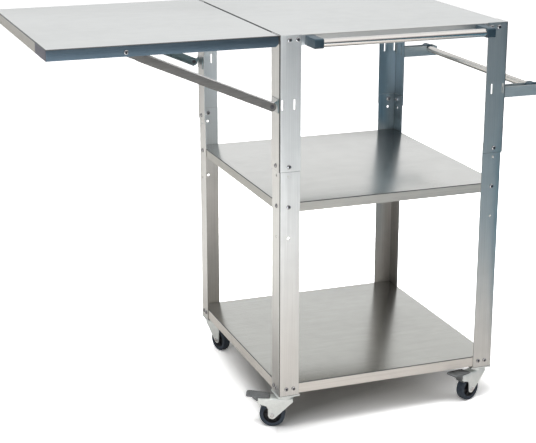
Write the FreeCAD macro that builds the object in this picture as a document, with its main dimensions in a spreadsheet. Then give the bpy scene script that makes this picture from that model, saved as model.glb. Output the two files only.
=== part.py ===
import FreeCAD, Part
import math
import os

import Sketcher

# Outdoor pizza oven table on casters
# A stainless steel frame of four bolted angle legs carries a flush top pan, two shelf pans,
# a towel bar, a side rail hooked into the leg slots, and a folding side leaf on two struts.
# Millimetres, +Z up, +X to the side rail, -Y to the towel bar.
# The origin is on the floor, at the centre of the whole table's bounding box.

os.makedirs("parts", exist_ok=True)
doc = FreeCAD.newDocument("PizzaOvenTable")
Vector = FreeCAD.Vector
Rotation = FreeCAD.Rotation

# Driving dimensions
# Heights on the legs are counted from the leg's foot, not from the floor.
SIZES = [
    ("table_width", 550, "across the outer faces of the legs"),
    ("table_depth", 580, "front to back across the legs"),
    ("leg_height", 834, "foot of the leg to the table top"),
    ("leg_flange", 50, "width of each flange of the angle legs"),
    ("leg_sheet", 2, "leg sheet thickness"),
    ("leg_bend", 2.5, "outer bend radius of the legs"),
    ("upper_leg_length", 302, "outer upper leg section"),
    ("leg_overlap", 25, "lower leg section inside the upper one"),
    ("pan_sheet", 1.2, "sheet of the top, the shelves and the leaf"),
    ("pan_round", 2, "rounding of the pans' outer edges"),
    ("top_rim", 24, "turned-down rim of the top and the leaf"),
    ("mid_shelf_height", 461, "top of the middle shelf"),
    ("mid_shelf_rim", 22, "turned-down rim of the middle shelf"),
    ("low_shelf_height", 29, "top of the bottom shelf"),
    ("low_shelf_rim", 25, "turned-down rim of the bottom shelf"),
    ("bolt_shank", 3, "radius of the frame bolts"),
    ("bolt_hole", 3.2, "radius of the frame bolts' holes"),
    ("bolt_head", 5, "radius of the frame bolts' button heads"),
    ("bolt_crown", 3.7, "radius of the flat on a button head"),
    ("head_height", 2.2, "height of a button head"),
    ("bolt_length", 11, "frame bolts below the head"),
    ("nut_width", 10, "across the flats of the nuts"),
    ("nut_height", 4.5, "thickness of the nuts"),
    ("nut_bore", 3.05, "bore radius of the nuts"),
    ("bolt_line", 23, "single bolts and spare holes, from the leg corner"),
    ("top_bolt_far", 42, "second top bolt, from the leg corner"),
    ("top_bolt_drop", 11, "top bolts below the table top"),
    ("splice_bolt_rise", 12, "splice bolt above the upper leg's end"),
    ("mid_bolt_drop", 9, "middle shelf bolts below the shelf top"),
    ("low_bolt_drop", 12, "bottom shelf bolts below the shelf top"),
    ("low_bolt_near", 19.5, "first bottom shelf bolt, from the leg corner"),
    ("low_bolt_far", 37, "second bottom shelf bolt, from the leg corner"),
    ("spare_hole_high", 522, "height of the upper spare hole"),
    ("spare_hole_low", 380, "height of the lower spare hole"),
    ("slot_near", 7, "first accessory slot, from the leg corner"),
    ("slot_far", 35, "second accessory slot, from the leg corner"),
    ("slot_width", 4, "width of the accessory slots"),
    ("slot_bottom", 671, "height of the slots' lower end"),
    ("slot_length", 23, "length of the accessory slots"),
    ("foot_sheet", 2.5, "foot plate welded inside the leg"),
    ("leaf_length", 501, "side leaf outward from its hinge edge"),
    ("leaf_gap", 1, "side leaf clear of the legs"),
    ("leaf_notch", 7.0, "bevel of the leaf rim at the hinge edge"),
    ("stud_reach", 335, "leaf studs outward from the legs"),
    ("stud_drop", 15, "leaf studs below the leaf top"),
    ("stud_shank", 3, "radius of the leaf studs"),
    ("stud_collar", 5, "radius of the leaf studs' inner collar"),
    ("collar_sheet", 1, "thickness of the studs' inner collar"),
    ("stud_tip", 6.5, "inner end of the studs from the leaf's outer rim face"),
    ("hinge_width", 50, "length of each leaf hinge"),
    ("hinge_sheet", 1, "hinge wing thickness"),
    ("hinge_barrel", 3, "hinge barrel radius"),
    ("hinge_pin", 1.5, "hinge pin radius"),
    ("hinge_bore", 1.63, "hinge barrel bore radius"),
    ("hinge_inset", 95, "hinge centres from the front and back of the leaf"),
    ("hinge_clear", 0.5, "hinge barrel below the rims"),
    ("knuckle_gap", 0.3, "between the hinge knuckles"),
    ("wing_reach", 18, "hinge wings up the rims"),
    ("pivot_reach", 13.5, "strut pivots outward from the legs"),
    ("pivot_height", 679, "height of the strut pivots"),
    ("strut_height", 20, "strut channel height"),
    ("strut_flange", 16, "strut channel width"),
    ("strut_sheet", 1.5, "strut channel sheet"),
    ("strut_inset", 8, "strut web from the leaf's outer rim face"),
    ("hook_inset", 3.2, "hook plate from the leaf's outer rim face"),
    ("hook_sheet", 2.5, "hook plate thickness"),
    ("hook_tail", 12, "hook plate past the stud"),
    ("hook_root", 40, "hook plate's root before the stud"),
    ("hook_joggle", 8, "length of the hook plate's offset"),
    ("hook_slot", 3.3, "half width of the hook's slot"),
    ("pivot_pin", 3, "strut pivot pin radius"),
    ("pivot_bore", 3.15, "bore radius on the strut pivot pins"),
    ("pivot_head", 4.8, "strut pivot pin head radius"),
    ("pivot_head_height", 1.6, "strut pivot pin head height"),
    ("bracket_sheet", 2, "strut bracket sheet"),
    ("bracket_bottom", 664, "height of the strut brackets' lower edge"),
    ("bracket_height", 32, "strut bracket height"),
    ("bracket_edge", 4, "strut bracket from the leg corner"),
    ("bracket_width", 40, "strut bracket width"),
    ("ear_round", 7.5, "radius of the bracket ear at the pivot"),
    ("ear_clear", 0.5, "bracket ear to the strut web"),
    ("neck_bottom", 2, "bracket neck above the pivot, lower edge"),
    ("neck_top", 13, "bracket neck above the pivot, upper edge"),
    ("tab_height", 14, "hook tabs in the leg slots"),
    ("tab_sheet", 2, "hook tab thickness"),
    ("tab_drop", 7, "hook tabs' lip below the slot"),
    ("arm_length", 102, "side rail arms out from the legs"),
    ("arm_bottom", 658, "height of the arms' underside"),
    ("arm_height", 25, "height of the arms"),
    ("arm_sheet", 2, "sheet of the arms"),
    ("rod_reach", 80, "side rail rod out from the legs"),
    ("rod_height", 676, "height of the side rail rod"),
    ("rod_radius", 8, "side rail rod outer radius"),
    ("rod_bore", 6.8, "side rail rod inner radius"),
    ("rod_seat", 8.2, "bore radius of the rod caps"),
    ("rod_clear", 0.3, "arm notch around the rod"),
    ("cap_round", 12, "half width and arch radius of the rod caps"),
    ("cap_clear", 0.3, "rod cap to the arm walls"),
    ("cap_wall", 5, "closed end of the rod caps"),
    ("bar_radius", 9, "towel bar outer radius"),
    ("bar_bore", 7.8, "towel bar inner radius"),
    ("bar_seat", 9.2, "bore radius of the towel bar brackets"),
    ("bar_height", 820, "height of the towel bar"),
    ("bar_reach", 41, "towel bar in front of the legs"),
    ("towel_inset", 60, "towel bar brackets from the table's sides"),
    ("towel_bracket", 21, "towel bar bracket width and height"),
    ("towel_front", 11, "towel bar bracket in front of the bar's axis"),
    ("towel_round", 4, "rounding of the towel bar brackets"),
    ("towel_wall", 6, "closed outer wall of the towel bar brackets"),
    ("screw_shank", 2, "towel bracket screw radius"),
    ("screw_hole", 2.05, "hole radius of the towel bracket screws"),
    ("screw_head", 4, "towel bracket screw head radius"),
    ("screw_length", 12, "towel bracket screws below the head"),
    ("caster_height", 84, "foot of the leg above the floor"),
    ("caster_inset", 27, "swivel axes from the leg corners"),
    ("caster_plate", 54, "side of the caster plates"),
    ("plate_sheet", 2.5, "caster plate sheet"),
    ("plate_hole", 18, "caster plate holes from the swivel axis"),
    ("plate_bolt", 2.5, "radius of the caster plate bolts"),
    ("plate_bore", 2.6, "radius of the caster plate holes"),
    ("plate_bolt_head", 4, "caster plate bolt head radius"),
    ("dish_radius", 14, "pressed dish of the caster plate"),
    ("dish_bottom", 7, "dish depth below the leg's foot"),
    ("race_gap", 0.3, "between the dish and the fork's race"),
    ("race_radius", 17, "race on top of the fork"),
    ("fork_top", 12, "fork top below the leg's foot"),
    ("fork_sheet", 2, "fork sheet"),
    ("fork_width", 28, "outside width of the fork"),
    ("fork_front", 18, "fork ahead of the swivel axis"),
    ("fork_tail", 63, "braked fork behind the swivel axis"),
    ("fork_short", 41, "plain fork behind the swivel axis"),
    ("king_radius", 4, "king rivet radius"),
    ("king_bore", 4.15, "fork bore on the king rivet"),
    ("king_head", 7, "king rivet head radius"),
    ("king_head_height", 3, "king rivet head height"),
    ("trail", 30, "wheel axle behind the swivel axis"),
    ("wheel_radius", 30, "caster wheel radius"),
    ("wheel_width", 20, "tyre width"),
    ("tyre_bore", 21, "inner radius of the tyre"),
    ("tyre_shoulder", 3, "bevel of the tyre's shoulders"),
    ("hub_radius", 8, "boss of the wheel hub"),
    ("hub_width", 23, "length of the wheel hub"),
    ("hub_web", 8, "thickness of the hub's disc"),
    ("axle_radius", 3, "axle radius"),
    ("axle_bore", 3.12, "bore radius of the hub and the fork"),
    ("axle_head", 5.5, "axle bolt head radius"),
    ("axle_head_height", 3, "axle bolt head height"),
    ("boss_radius", 9.5, "fork cheek round the axle"),
    ("pedal_pin", 2, "radius of the brake pedal's pin"),
    ("pedal_bore", 2.15, "bore radius of the brake pedal"),
    ("rivet_proud", 0.5, "pins' ends outside the fork cheeks"),
    ("pedal_pin_trail", 57, "brake pedal pin behind the swivel axis"),
    ("pedal_pin_drop", 19.5, "brake pedal pin below the leg's foot"),
    ("stop_pin_trail", 33, "stop pin behind the swivel axis"),
    ("stop_pin_drop", 18.5, "stop pin below the leg's foot"),
    ("pedal_width", 30, "foot pad width"),
    ("pedal_reach", 92, "pedal tip behind the swivel axis"),
    ("pedal_inner", 37, "pedal's inner end behind the swivel axis"),
    ("pedal_drop", 3.5, "pedal tip below the leg's foot"),
    ("brake_reach", 13.5, "brake finger from the pedal pin"),
]
FRONT_LEFT_HEADING = 155.7
FRONT_RIGHT_HEADING = 200.8
BACK_LEFT_HEADING = 285.7
BACK_RIGHT_HEADING = 252.0

# Sides of the rounds that repeat, which keep the whole model light
BOLT_SIDES = 6
HEAD_SIDES = 8
PIN_SIDES = 12
PIVOT_SIDES = 16
ROUND_SIDES = 20
WHEEL_SIDES = 28

sheet = doc.addObject("Spreadsheet::Sheet", "dims")
sheet.Label = "dims"
for row, (alias, value, note) in enumerate(SIZES, start=1):
    sheet.set(f"A{row}", str(value))
    sheet.setAlias(f"A{row}", alias)
    sheet.set(f"B{row}", note)
doc.recompute()


class Dim:
    """A length with its value and the sheet formula that gives it."""

    def __init__(self, value, text):
        self.value = float(value)
        self.text = text

    def __add__(self, other):
        other = as_dim(other)
        return Dim(self.value + other.value, f"({self.text} + {other.text})")

    def __sub__(self, other):
        other = as_dim(other)
        return Dim(self.value - other.value, f"({self.text} - {other.text})")

    def __mul__(self, factor):
        return Dim(self.value * factor, f"({self.text} * {factor:.9f})")

    def __neg__(self):
        return self * -1

    def __radd__(self, other):
        return as_dim(other) + self

    def __rsub__(self, other):
        return as_dim(other) - self

    def __rmul__(self, factor):
        return self * factor


def as_dim(number):
    """Turn a plain number into a Dim, and leave a Dim as it is."""
    if isinstance(number, Dim):
        return number
    return Dim(number, f"({float(number):.9f})")


class Sheet:
    """The driving dimensions as attributes, each a Dim bound to its cell."""


d = Sheet()
for alias, value, note in SIZES:
    setattr(d, alias, Dim(value, f"dims.{alias}"))

# Places worked out from the driving dimensions
seam_height = d.leg_height - d.upper_leg_length
lower_leg_length = seam_height + d.leg_overlap
top_rim_bottom = d.leg_height - d.top_rim
leaf_edge = -d.leaf_gap
leaf_end = -(d.leaf_gap + d.leaf_length)
stud_height = d.leg_height - d.stud_drop
table_rim = d.leg_sheet
shelf_edge = d.leg_sheet * 2
hinge_x = (d.leg_sheet - d.leaf_gap) * 0.5
hinge_z = top_rim_bottom - d.hinge_barrel - d.hinge_clear
back_hinge_y = d.table_depth - d.hinge_inset
top_bolt_height = d.leg_height - d.top_bolt_drop
splice_bolt_height = seam_height + d.splice_bolt_rise
mid_bolt_height = d.mid_shelf_height - d.mid_bolt_drop
low_bolt_height = d.low_shelf_height - d.low_bolt_drop
towel_screw_x = d.towel_inset + d.towel_bracket * 0.5

# The legs' front left corner in the table's own frame, which centres the whole
# outline: leaf end to rail arms across, towel bar brackets to rear bolt heads in depth.
left_x = (d.leaf_gap + d.leaf_length - d.table_width - d.arm_length) * 0.5
front_y = (d.bar_reach + d.towel_front - d.table_depth - d.head_height) * 0.5
foot_z = d.caster_height
PLANES = {"XY": "XY_Plane", "XZ": "XZ_Plane", "YZ": "YZ_Plane"}
PLAIN = Rotation()


def new_body(label):
    """Start a sub-part of its own name."""
    body = doc.addObject("PartDesign::Body", label)
    body.Label = label
    return body


def place(body, x, y, z, rotation=PLAIN):
    """Put a sub-part at a point given from the legs' front left corner and foot."""
    body.Placement = FreeCAD.Placement(Vector(), rotation)
    for axis, offset, distance in (("x", left_x, x), ("y", front_y, y), ("z", foot_z, z)):
        body.setExpression(f"Placement.Base.{axis}", (offset + distance).text)


def attach(body, plane, start):
    """Add a sketch on an origin plane, moved to a start along the plane's axis."""
    sketch = body.newObject("Sketcher::SketchObject", f"{body.Label}_sketch")
    role = PLANES[plane]
    origin_plane = [item for item in body.Origin.OriginFeatures if item.Role == role][0]
    sketch.AttachmentSupport = [(origin_plane, "")]
    sketch.MapMode = "FlatFace"
    start = -as_dim(start) if plane == "XZ" else as_dim(start)
    sketch.setExpression("AttachmentOffset.Base.z", start.text)
    return sketch


def pin_point(sketch, line, end, x, y):
    """Bind one point of a sketch to its two distances from the origin."""
    for kind, distance in (("DistanceX", x), ("DistanceY", y)):
        distance = as_dim(distance)
        index = sketch.addConstraint(Sketcher.Constraint(kind, -1, 1, line, end, distance.value))
        sketch.setExpression(f"Constraints[{index}]", distance.text)


def draw_outline(sketch, points):
    """Draw a closed outline of straight lines, every corner bound to the sheet."""
    corners = [Vector(as_dim(x).value, as_dim(y).value, 0) for x, y in points]
    count = len(corners)
    lines = [
        sketch.addGeometry(Part.LineSegment(corners[i], corners[(i + 1) % count]), False)
        for i in range(count)
    ]
    for i in range(count):
        after = lines[(i + 1) % count]
        sketch.addConstraint(Sketcher.Constraint("Coincident", lines[i], 2, after, 1))
    for line, (x, y) in zip(lines, points):
        pin_point(sketch, line, 1, x, y)


def draw_box(sketch, x, y, width, height):
    """Draw a rectangle from its lower left corner."""
    x = as_dim(x)
    y = as_dim(y)
    right = x + width
    upper = y + height
    draw_outline(sketch, [(x, y), (right, y), (right, upper), (x, upper)])


def draw_circle(sketch, x, y, radius):
    """Draw a circle bound to the sheet."""
    x = as_dim(x)
    y = as_dim(y)
    radius = as_dim(radius)
    centre = Vector(x.value, y.value, 0)
    circle = Part.Circle(centre, Vector(0, 0, 1), radius.value)
    index = sketch.addGeometry(circle, False)
    pin_point(sketch, index, 3, x, y)
    rule = sketch.addConstraint(Sketcher.Constraint("Radius", index, radius.value))
    sketch.setExpression(f"Constraints[{rule}]", radius.text)


def add(body, plane, start, length, draw, *shape):
    """Pad a drawn shape from a start, towards the plane's positive axis."""
    sketch = attach(body, plane, start)
    draw(sketch, *shape)
    pad = body.newObject("PartDesign::Pad", f"{body.Label}_pad")
    pad.Profile = sketch
    pad.setExpression("Length", as_dim(length).text)
    pad.Reversed = plane == "XZ"
    doc.recompute()
    return pad


def cut(body, plane, start, length, draw, *shape):
    """Pocket a drawn shape from a start, towards the plane's positive axis."""
    before = body.Shape.Volume
    sketch = attach(body, plane, start)
    draw(sketch, *shape)
    pocket = body.newObject("PartDesign::Pocket", f"{body.Label}_pocket")
    pocket.Profile = sketch
    pocket.setExpression("Length", as_dim(length).text)
    pocket.Reversed = plane != "XZ"
    doc.recompute()
    if body.Shape.Volume >= before:
        raise ValueError(f"a cut in {body.Label} removes nothing")
    return pocket


def draw_circles(sketch, circles):
    """Draw several circles in one sketch."""
    for x, y, radius in circles:
        draw_circle(sketch, x, y, radius)


def draw_polygon(sketch, x, y, radius, sides):
    """Draw a regular polygon, for a small round that repeats, with a corner on the sketch's X."""
    turns = [math.tau * i / sides for i in range(sides)]
    corners = [(x + radius * math.cos(a), y + radius * math.sin(a)) for a in turns]
    draw_outline(sketch, corners)


def draw_polygons(sketch, places, radius, sides):
    """Draw the same polygon at several places in one sketch."""
    for x, y in places:
        draw_polygon(sketch, x, y, radius, sides)


def draw_boxes(sketch, boxes):
    """Draw several rectangles in one sketch."""
    for box in boxes:
        draw_box(sketch, *box)


def fillet(body, radius, chosen):
    """Round the edges of the body for which chosen(edge) holds."""
    tip = body.Tip
    names = [f"Edge{i}" for i, edge in enumerate(tip.Shape.Edges, start=1) if chosen(edge)]
    feature = body.newObject("PartDesign::Fillet", f"{body.Label}_fillet")
    feature.Base = (tip, names)
    feature.setExpression("Radius", as_dim(radius).text)
    doc.recompute()
    return feature


def chamfer(body, size, chosen):
    """Bevel the edges of the body for which chosen(edge) holds."""
    tip = body.Tip
    names = [f"Edge{i}" for i, edge in enumerate(tip.Shape.Edges, start=1) if chosen(edge)]
    feature = body.newObject("PartDesign::Chamfer", f"{body.Label}_chamfer")
    feature.Base = (tip, names)
    feature.setExpression("Size", as_dim(size).text)
    doc.recompute()
    return feature


def group(label, solids):
    """Keep several identical fasteners as one sub-part of separate solids."""
    feature = doc.addObject("Part::Feature", label)
    feature.Label = label
    feature.Shape = Part.makeCompound(solids)
    feature.Placement = FreeCAD.Placement(Vector(left_x.value, front_y.value, foot_z.value), PLAIN)
    return feature


def near(first, second):
    """Say whether two coordinates are the same."""
    return abs(first - second) < 0.01


# The four corners of the frame, each with its turn about Z
CORNERS = {
    "fl": (as_dim(0), as_dim(0), 0),
    "fr": (d.table_width, as_dim(0), 90),
    "br": (d.table_width, d.table_depth, 180),
    "bl": (as_dim(0), d.table_depth, 270),
}


def angle_profile(outer):
    """Outline of an angle section whose corner lies at (outer, outer)."""
    inner = outer + d.leg_sheet
    tip = d.leg_flange
    return [(outer, outer), (tip, outer), (tip, inner), (inner, inner), (inner, tip), (outer, tip)]


def round_bend(body, outer):
    """Round the outer bend of an angle leg."""
    def is_bend(edge):
        ends = edge.Vertexes
        return all(near(v.X, outer.value) and near(v.Y, outer.value) for v in ends)
    fillet(body, d.leg_bend, is_bend)


def upper_leg(corner):
    """Outer upper section of a leg, with accessory slots in both flanges."""
    x, y, turn = CORNERS[corner]
    body = new_body(f"upper_leg_{corner}")
    add(body, "XY", seam_height, d.upper_leg_length, draw_outline, angle_profile(as_dim(0)))
    round_bend(body, as_dim(0))
    splice = [(d.bolt_line, splice_bolt_height)]
    top = [(d.bolt_line, top_bolt_height), (d.top_bolt_far, top_bolt_height)]
    slots = [
        (at - d.slot_width * 0.5, d.slot_bottom, d.slot_width, d.slot_length)
        for at in (d.slot_near, d.slot_far)
    ]
    end_flange = "XZ" if corner in ("fl", "br") else "YZ"
    for plane in ("XZ", "YZ"):
        bolts = splice + top if plane == end_flange else splice
        cut(body, plane, 0, d.leg_sheet, draw_polygons, bolts, d.bolt_hole, BOLT_SIDES)
        cut(body, plane, 0, d.leg_sheet, draw_boxes, slots)
    place(body, x, y, as_dim(0), Rotation(Vector(0, 0, 1), turn))
    return body


def lower_leg(corner):
    """Inner lower section of a leg, with its welded foot plate."""
    x, y, turn = CORNERS[corner]
    outer = d.leg_sheet
    body = new_body(f"lower_leg_{corner}")
    add(body, "XY", 0, lower_leg_length, draw_outline, angle_profile(outer))
    round_bend(body, outer)
    weld = outer + d.leg_sheet * 0.5
    side = d.caster_plate - weld
    add(body, "XY", 0, d.foot_sheet, draw_box, weld, weld, side, side)
    bolts = [
        (d.bolt_line, splice_bolt_height),
        (d.bolt_line, mid_bolt_height),
        (d.low_bolt_near, low_bolt_height),
        (d.low_bolt_far, low_bolt_height),
    ]
    spares = [(d.bolt_line, at) for at in (d.spare_hole_high, d.spare_hole_low)]
    side_flange, end_flange = ("YZ", "XZ") if corner in ("fl", "br") else ("XZ", "YZ")
    for plane in ("XZ", "YZ"):
        cut(body, plane, outer, d.leg_sheet, draw_polygons, bolts, d.bolt_hole, BOLT_SIDES)
    cut(body, side_flange, outer, d.leg_sheet, draw_polygons, spares, d.bolt_hole, PIN_SIDES)
    rounds = [(x, y, d.bolt_hole) for x, y in spares]
    cut(body, end_flange, outer, d.leg_sheet, draw_circles, rounds)
    cut(body, "XY", 0, d.foot_sheet, draw_polygons, plate_places(d.caster_inset), d.plate_bore,
        BOLT_SIDES)
    place(body, x, y, as_dim(0), Rotation(Vector(0, 0, 1), turn))
    return body


def plate_places(centre):
    """The four bolts of a caster plate, on a square round a centre."""
    return [
        (centre + d.plate_hole * across, centre + d.plate_hole * along)
        for across in (-1, 1)
        for along in (-1, 1)
    ]


def pan(label, left, front, right, back, top, rim):
    """A folded sheet pan: a flat top with a turned-down rim on all four sides."""
    body = new_body(label)
    bottom = top - rim
    add(body, "XY", bottom, rim, draw_box, left, front, right - left, back - front)

    def is_bend(edge):
        return all(near(v.Z, top.value) for v in edge.Vertexes)

    fillet(body, d.pan_round, is_bend)
    wall = d.pan_sheet
    cut(body, "XY", bottom, rim - wall, draw_box, left + wall, front + wall,
        right - left - wall * 2, back - front - wall * 2)
    return body


def mirrored(length, distances):
    """The same distances from both ends of a length."""
    return [as_dim(at) for at in distances] + [length - at for at in distances]


def rim_holes(body, plane, start, length, places, height):
    """Bolt holes through two opposite rims of a pan."""
    spots = [(at, height) for at in places]
    cut(body, plane, start, length, draw_polygons, spots, d.bolt_hole, BOLT_SIDES)


def top_panel():
    """Flush table top, bolted between the upper legs."""
    body = pan("top_panel", table_rim, table_rim, d.table_width - table_rim,
               d.table_depth - table_rim, d.leg_height, d.top_rim)
    across = mirrored(d.table_width, [d.bolt_line, d.top_bolt_far])
    rim_holes(body, "XZ", 0, d.table_depth, across, top_bolt_height)
    screws = [(at, d.bar_height) for at in mirrored(d.table_width, [towel_screw_x])]
    cut(body, "XZ", table_rim, d.pan_sheet, draw_polygons, screws, d.screw_hole, BOLT_SIDES)
    place(body, as_dim(0), as_dim(0), as_dim(0))
    return body


def shelf(label, top, rim, spots, bolt_height):
    """Shelf pan bolted inside the lower legs on all four sides."""
    body = pan(label, shelf_edge, shelf_edge, d.table_width - shelf_edge,
               d.table_depth - shelf_edge, top, rim)
    across = mirrored(d.table_width, spots)
    along = mirrored(d.table_depth, spots)
    rim_holes(body, "XZ", 0, d.table_depth, across, bolt_height)
    rim_holes(body, "YZ", 0, d.table_width, along, bolt_height)
    place(body, as_dim(0), as_dim(0), as_dim(0))
    return body


def leaf_panel():
    """Folding side leaf, a pan whose rim is bevelled at the hinge edge."""
    body = pan("leaf_panel", leaf_end, as_dim(0), leaf_edge, d.table_depth,
               d.leg_height, d.top_rim)
    bevel = [
        (leaf_edge - d.leaf_notch, top_rim_bottom - 1),
        (leaf_edge + 1, top_rim_bottom - 1),
        (leaf_edge + 1, top_rim_bottom + d.leaf_notch),
        (leaf_edge, top_rim_bottom + d.leaf_notch),
        (leaf_edge - d.leaf_notch, top_rim_bottom),
    ]
    cut(body, "XZ", 0, d.table_depth, draw_outline, bevel)
    stud_hole = [(-d.stud_reach, stud_height)]
    cut(body, "XZ", 0, d.table_depth, draw_polygons, stud_hole, d.stud_shank, PIN_SIDES)
    place(body, as_dim(0), as_dim(0), as_dim(0))
    return body


def ring(centre, direction, radius, sides):
    """A regular polygon across a horizontal direction, with a corner level with its centre."""
    level = direction.cross(Vector(0, 0, 1))
    turns = [math.tau * i / sides for i in range(sides + 1)]
    corners = [
        centre + level * (radius.value * math.cos(a)) + Vector(0, 0, radius.value * math.sin(a))
        for a in turns
    ]
    return Part.makePolygon(corners)


def prism(centre, direction, radius, sides, length):
    """A bar of regular section from a centre along a horizontal direction."""
    return Part.Face(ring(centre, direction, radius, sides)).extrude(direction * length.value)


def button_head(seat, outward):
    """Domed head of few faces, narrower at its crown."""
    base = ring(seat, outward, d.bolt_head, HEAD_SIDES)
    crown = ring(seat + outward * d.head_height.value, outward, d.bolt_crown, HEAD_SIDES)
    return Part.makeLoft([base, crown], True)


def button_bolt(seat, inward):
    """Button head bolt whose head sits on seat and whose shank runs inward."""
    shank = prism(seat, inward, d.bolt_shank, BOLT_SIDES, d.bolt_length)
    return button_head(seat, -inward).fuse(shank)


def hex_nut(seat, inward):
    """Hexagon nut that sits on a wall's inner face."""
    blank = prism(seat, inward, d.nut_width * (1 / math.sqrt(3)), 6, d.nut_height)
    return blank.cut(prism(seat, inward, d.nut_bore, BOLT_SIDES, d.nut_height))


def frame_fasteners():
    """Seats of every frame bolt: outer seat, inward direction and grip."""
    width = d.table_width.value
    depth = d.table_depth.value
    leg = d.leg_sheet.value
    wall = d.pan_sheet.value
    line = d.bolt_line.value
    rows = [
        (splice_bolt_height.value, [line], 0, leg * 2, True),
        (mid_bolt_height.value, [line], leg, leg + wall, True),
        (low_bolt_height.value, [d.low_bolt_near.value, d.low_bolt_far.value], leg, leg + wall, True),
        (top_bolt_height.value, [line, d.top_bolt_far.value], 0, leg + wall, False),
    ]
    seats = []
    for height, spots, inset, grip, on_sides in rows:
        for spot in spots:
            for x in (spot, width - spot):
                seats.append((Vector(x, inset, height), Vector(0, 1, 0), grip))
                seats.append((Vector(x, depth - inset, height), Vector(0, -1, 0), grip))
            if not on_sides:
                continue
            for y in (spot, depth - spot):
                seats.append((Vector(inset, y, height), Vector(1, 0, 0), grip))
                seats.append((Vector(width - inset, y, height), Vector(-1, 0, 0), grip))
    return seats


def leaf_stud(rim_y, inward):
    """Headed stud riveted in the leaf's rim, with an inner collar for the strut's hook."""
    seat = Vector(-d.stud_reach.value, rim_y, stud_height.value)
    shank = prism(seat, inward, d.stud_shank, PIN_SIDES, d.stud_tip)
    collar_seat = seat + inward * d.pan_sheet.value
    collar = prism(collar_seat, inward, d.stud_collar, PIN_SIDES, d.collar_sheet)
    return button_head(seat, -inward).fuse(shank).fuse(collar)


def knuckle_spans(centre):
    """The two outer knuckles and the middle one of a hinge, as start and length."""
    third = (d.hinge_width - d.knuckle_gap * 2) * (1 / 3)
    start = centre - d.hinge_width * 0.5
    pitch = third + d.knuckle_gap
    return [(start, third), (start + pitch, third), (start + pitch * 2, third)]


def hinge_wing(label, centre, is_leaf):
    """One half of a leaf hinge: knuckles round the pin and a wing up the rim."""
    body = new_body(label)
    start = centre - d.hinge_width * 0.5
    spans = knuckle_spans(centre)
    own = [spans[1]] if is_leaf else [spans[0], spans[2]]
    wing_x = leaf_edge if is_leaf else table_rim - d.hinge_sheet
    lift = hinge_z + d.hinge_barrel + d.knuckle_gap
    add(body, "XZ", start, d.hinge_width, draw_box, wing_x, lift, d.hinge_sheet, d.wing_reach)
    for knuckle_start, knuckle_length in own:
        add(body, "XZ", knuckle_start, knuckle_length, draw_box, wing_x, hinge_z,
            d.hinge_sheet, lift - hinge_z)
        add(body, "XZ", knuckle_start, knuckle_length, draw_polygon, hinge_x, hinge_z,
            d.hinge_barrel, PIN_SIDES)
        cut(body, "XZ", knuckle_start, knuckle_length, draw_polygon, hinge_x, hinge_z,
            d.hinge_bore, PIN_SIDES)
    place(body, as_dim(0), as_dim(0), as_dim(0))
    return body


def hinge_pin_solid(centre):
    """Pin of one leaf hinge."""
    start = Vector(hinge_x.value, (centre - d.hinge_width * 0.5).value, hinge_z.value)
    return prism(start, Vector(0, 1, 0), d.hinge_pin, PIN_SIDES, d.hinge_width)


def mirrored_span(is_back, start, length):
    """A span in depth, or its mirror image at the back of the table."""
    start = as_dim(start)
    return d.table_depth - start - length if is_back else start


# The struts point from their pivots on the legs up to the studs in the leaf's rim.
strut_run = d.stud_reach - d.pivot_reach
strut_rise = stud_height - d.pivot_height
strut_tilt = math.atan2(strut_rise.value, strut_run.value)
strut_length = math.hypot(strut_rise.value, strut_run.value)
strut_span = strut_run * (1 / math.cos(strut_tilt))


def strut(label, is_back):
    """Channel strut along -X from its pivot, with an offset hook plate at the stud."""
    body = new_body(label)
    depth = d.strut_flange
    half = d.strut_height * 0.5
    hook_start = -(strut_span - d.hook_root + d.hook_joggle)
    web = mirrored_span(is_back, d.strut_inset, depth)
    add(body, "XZ", web, depth, draw_box, hook_start, -half, -hook_start, d.strut_height)
    add(body, "XZ", web, depth, draw_polygon, 0, 0, half, ROUND_SIDES)
    hollow = depth - d.strut_sheet
    hollow_start = mirrored_span(is_back, d.strut_inset + d.strut_sheet, hollow)
    inner = half - d.strut_sheet
    cut(body, "XZ", hollow_start, hollow, draw_box, hook_start - 1, -inner,
        -hook_start + 1 + half, inner * 2)
    cut(body, "XZ", hollow_start, hollow, draw_box, 0, -half, half, d.strut_height)
    joggle = d.strut_inset + d.strut_sheet - d.hook_inset
    joggle_start = mirrored_span(is_back, d.hook_inset, joggle)
    add(body, "XZ", joggle_start, joggle, draw_box, hook_start, -inner, d.hook_joggle, inner * 2)
    plate_start = mirrored_span(is_back, d.hook_inset, d.hook_sheet)
    plate_end = -(strut_span + d.hook_tail)
    add(body, "XZ", plate_start, d.hook_sheet, draw_box, plate_end, -inner,
        hook_start - plate_end + d.hook_joggle, inner * 2)
    cut(body, "XZ", plate_start, d.hook_sheet, draw_polygon, -strut_span, 0, d.hook_slot, 16)
    cut(body, "XZ", plate_start, d.hook_sheet, draw_outline, hook_slot_outline())
    pin_start = mirrored_span(is_back, d.strut_inset, d.strut_sheet)
    cut(body, "XZ", pin_start, d.strut_sheet, draw_polygon, 0, 0, d.pivot_bore, PIN_SIDES)
    place(body, -d.pivot_reach, as_dim(0), d.pivot_height,
          Rotation(Vector(0, 1, 0), math.degrees(strut_tilt)))
    return body


def hook_slot_outline():
    """The hook's slot, open at 45 degrees up towards the pivot, as the stud leaves it."""
    slant = math.sqrt(0.5)
    across = d.hook_slot * slant
    run = d.strut_height * 0.75
    stud = -strut_span
    return [
        (stud - across, across),
        (stud + across, -across),
        (stud + across + run, run - across),
        (stud - across + run, run + across),
    ]


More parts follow.
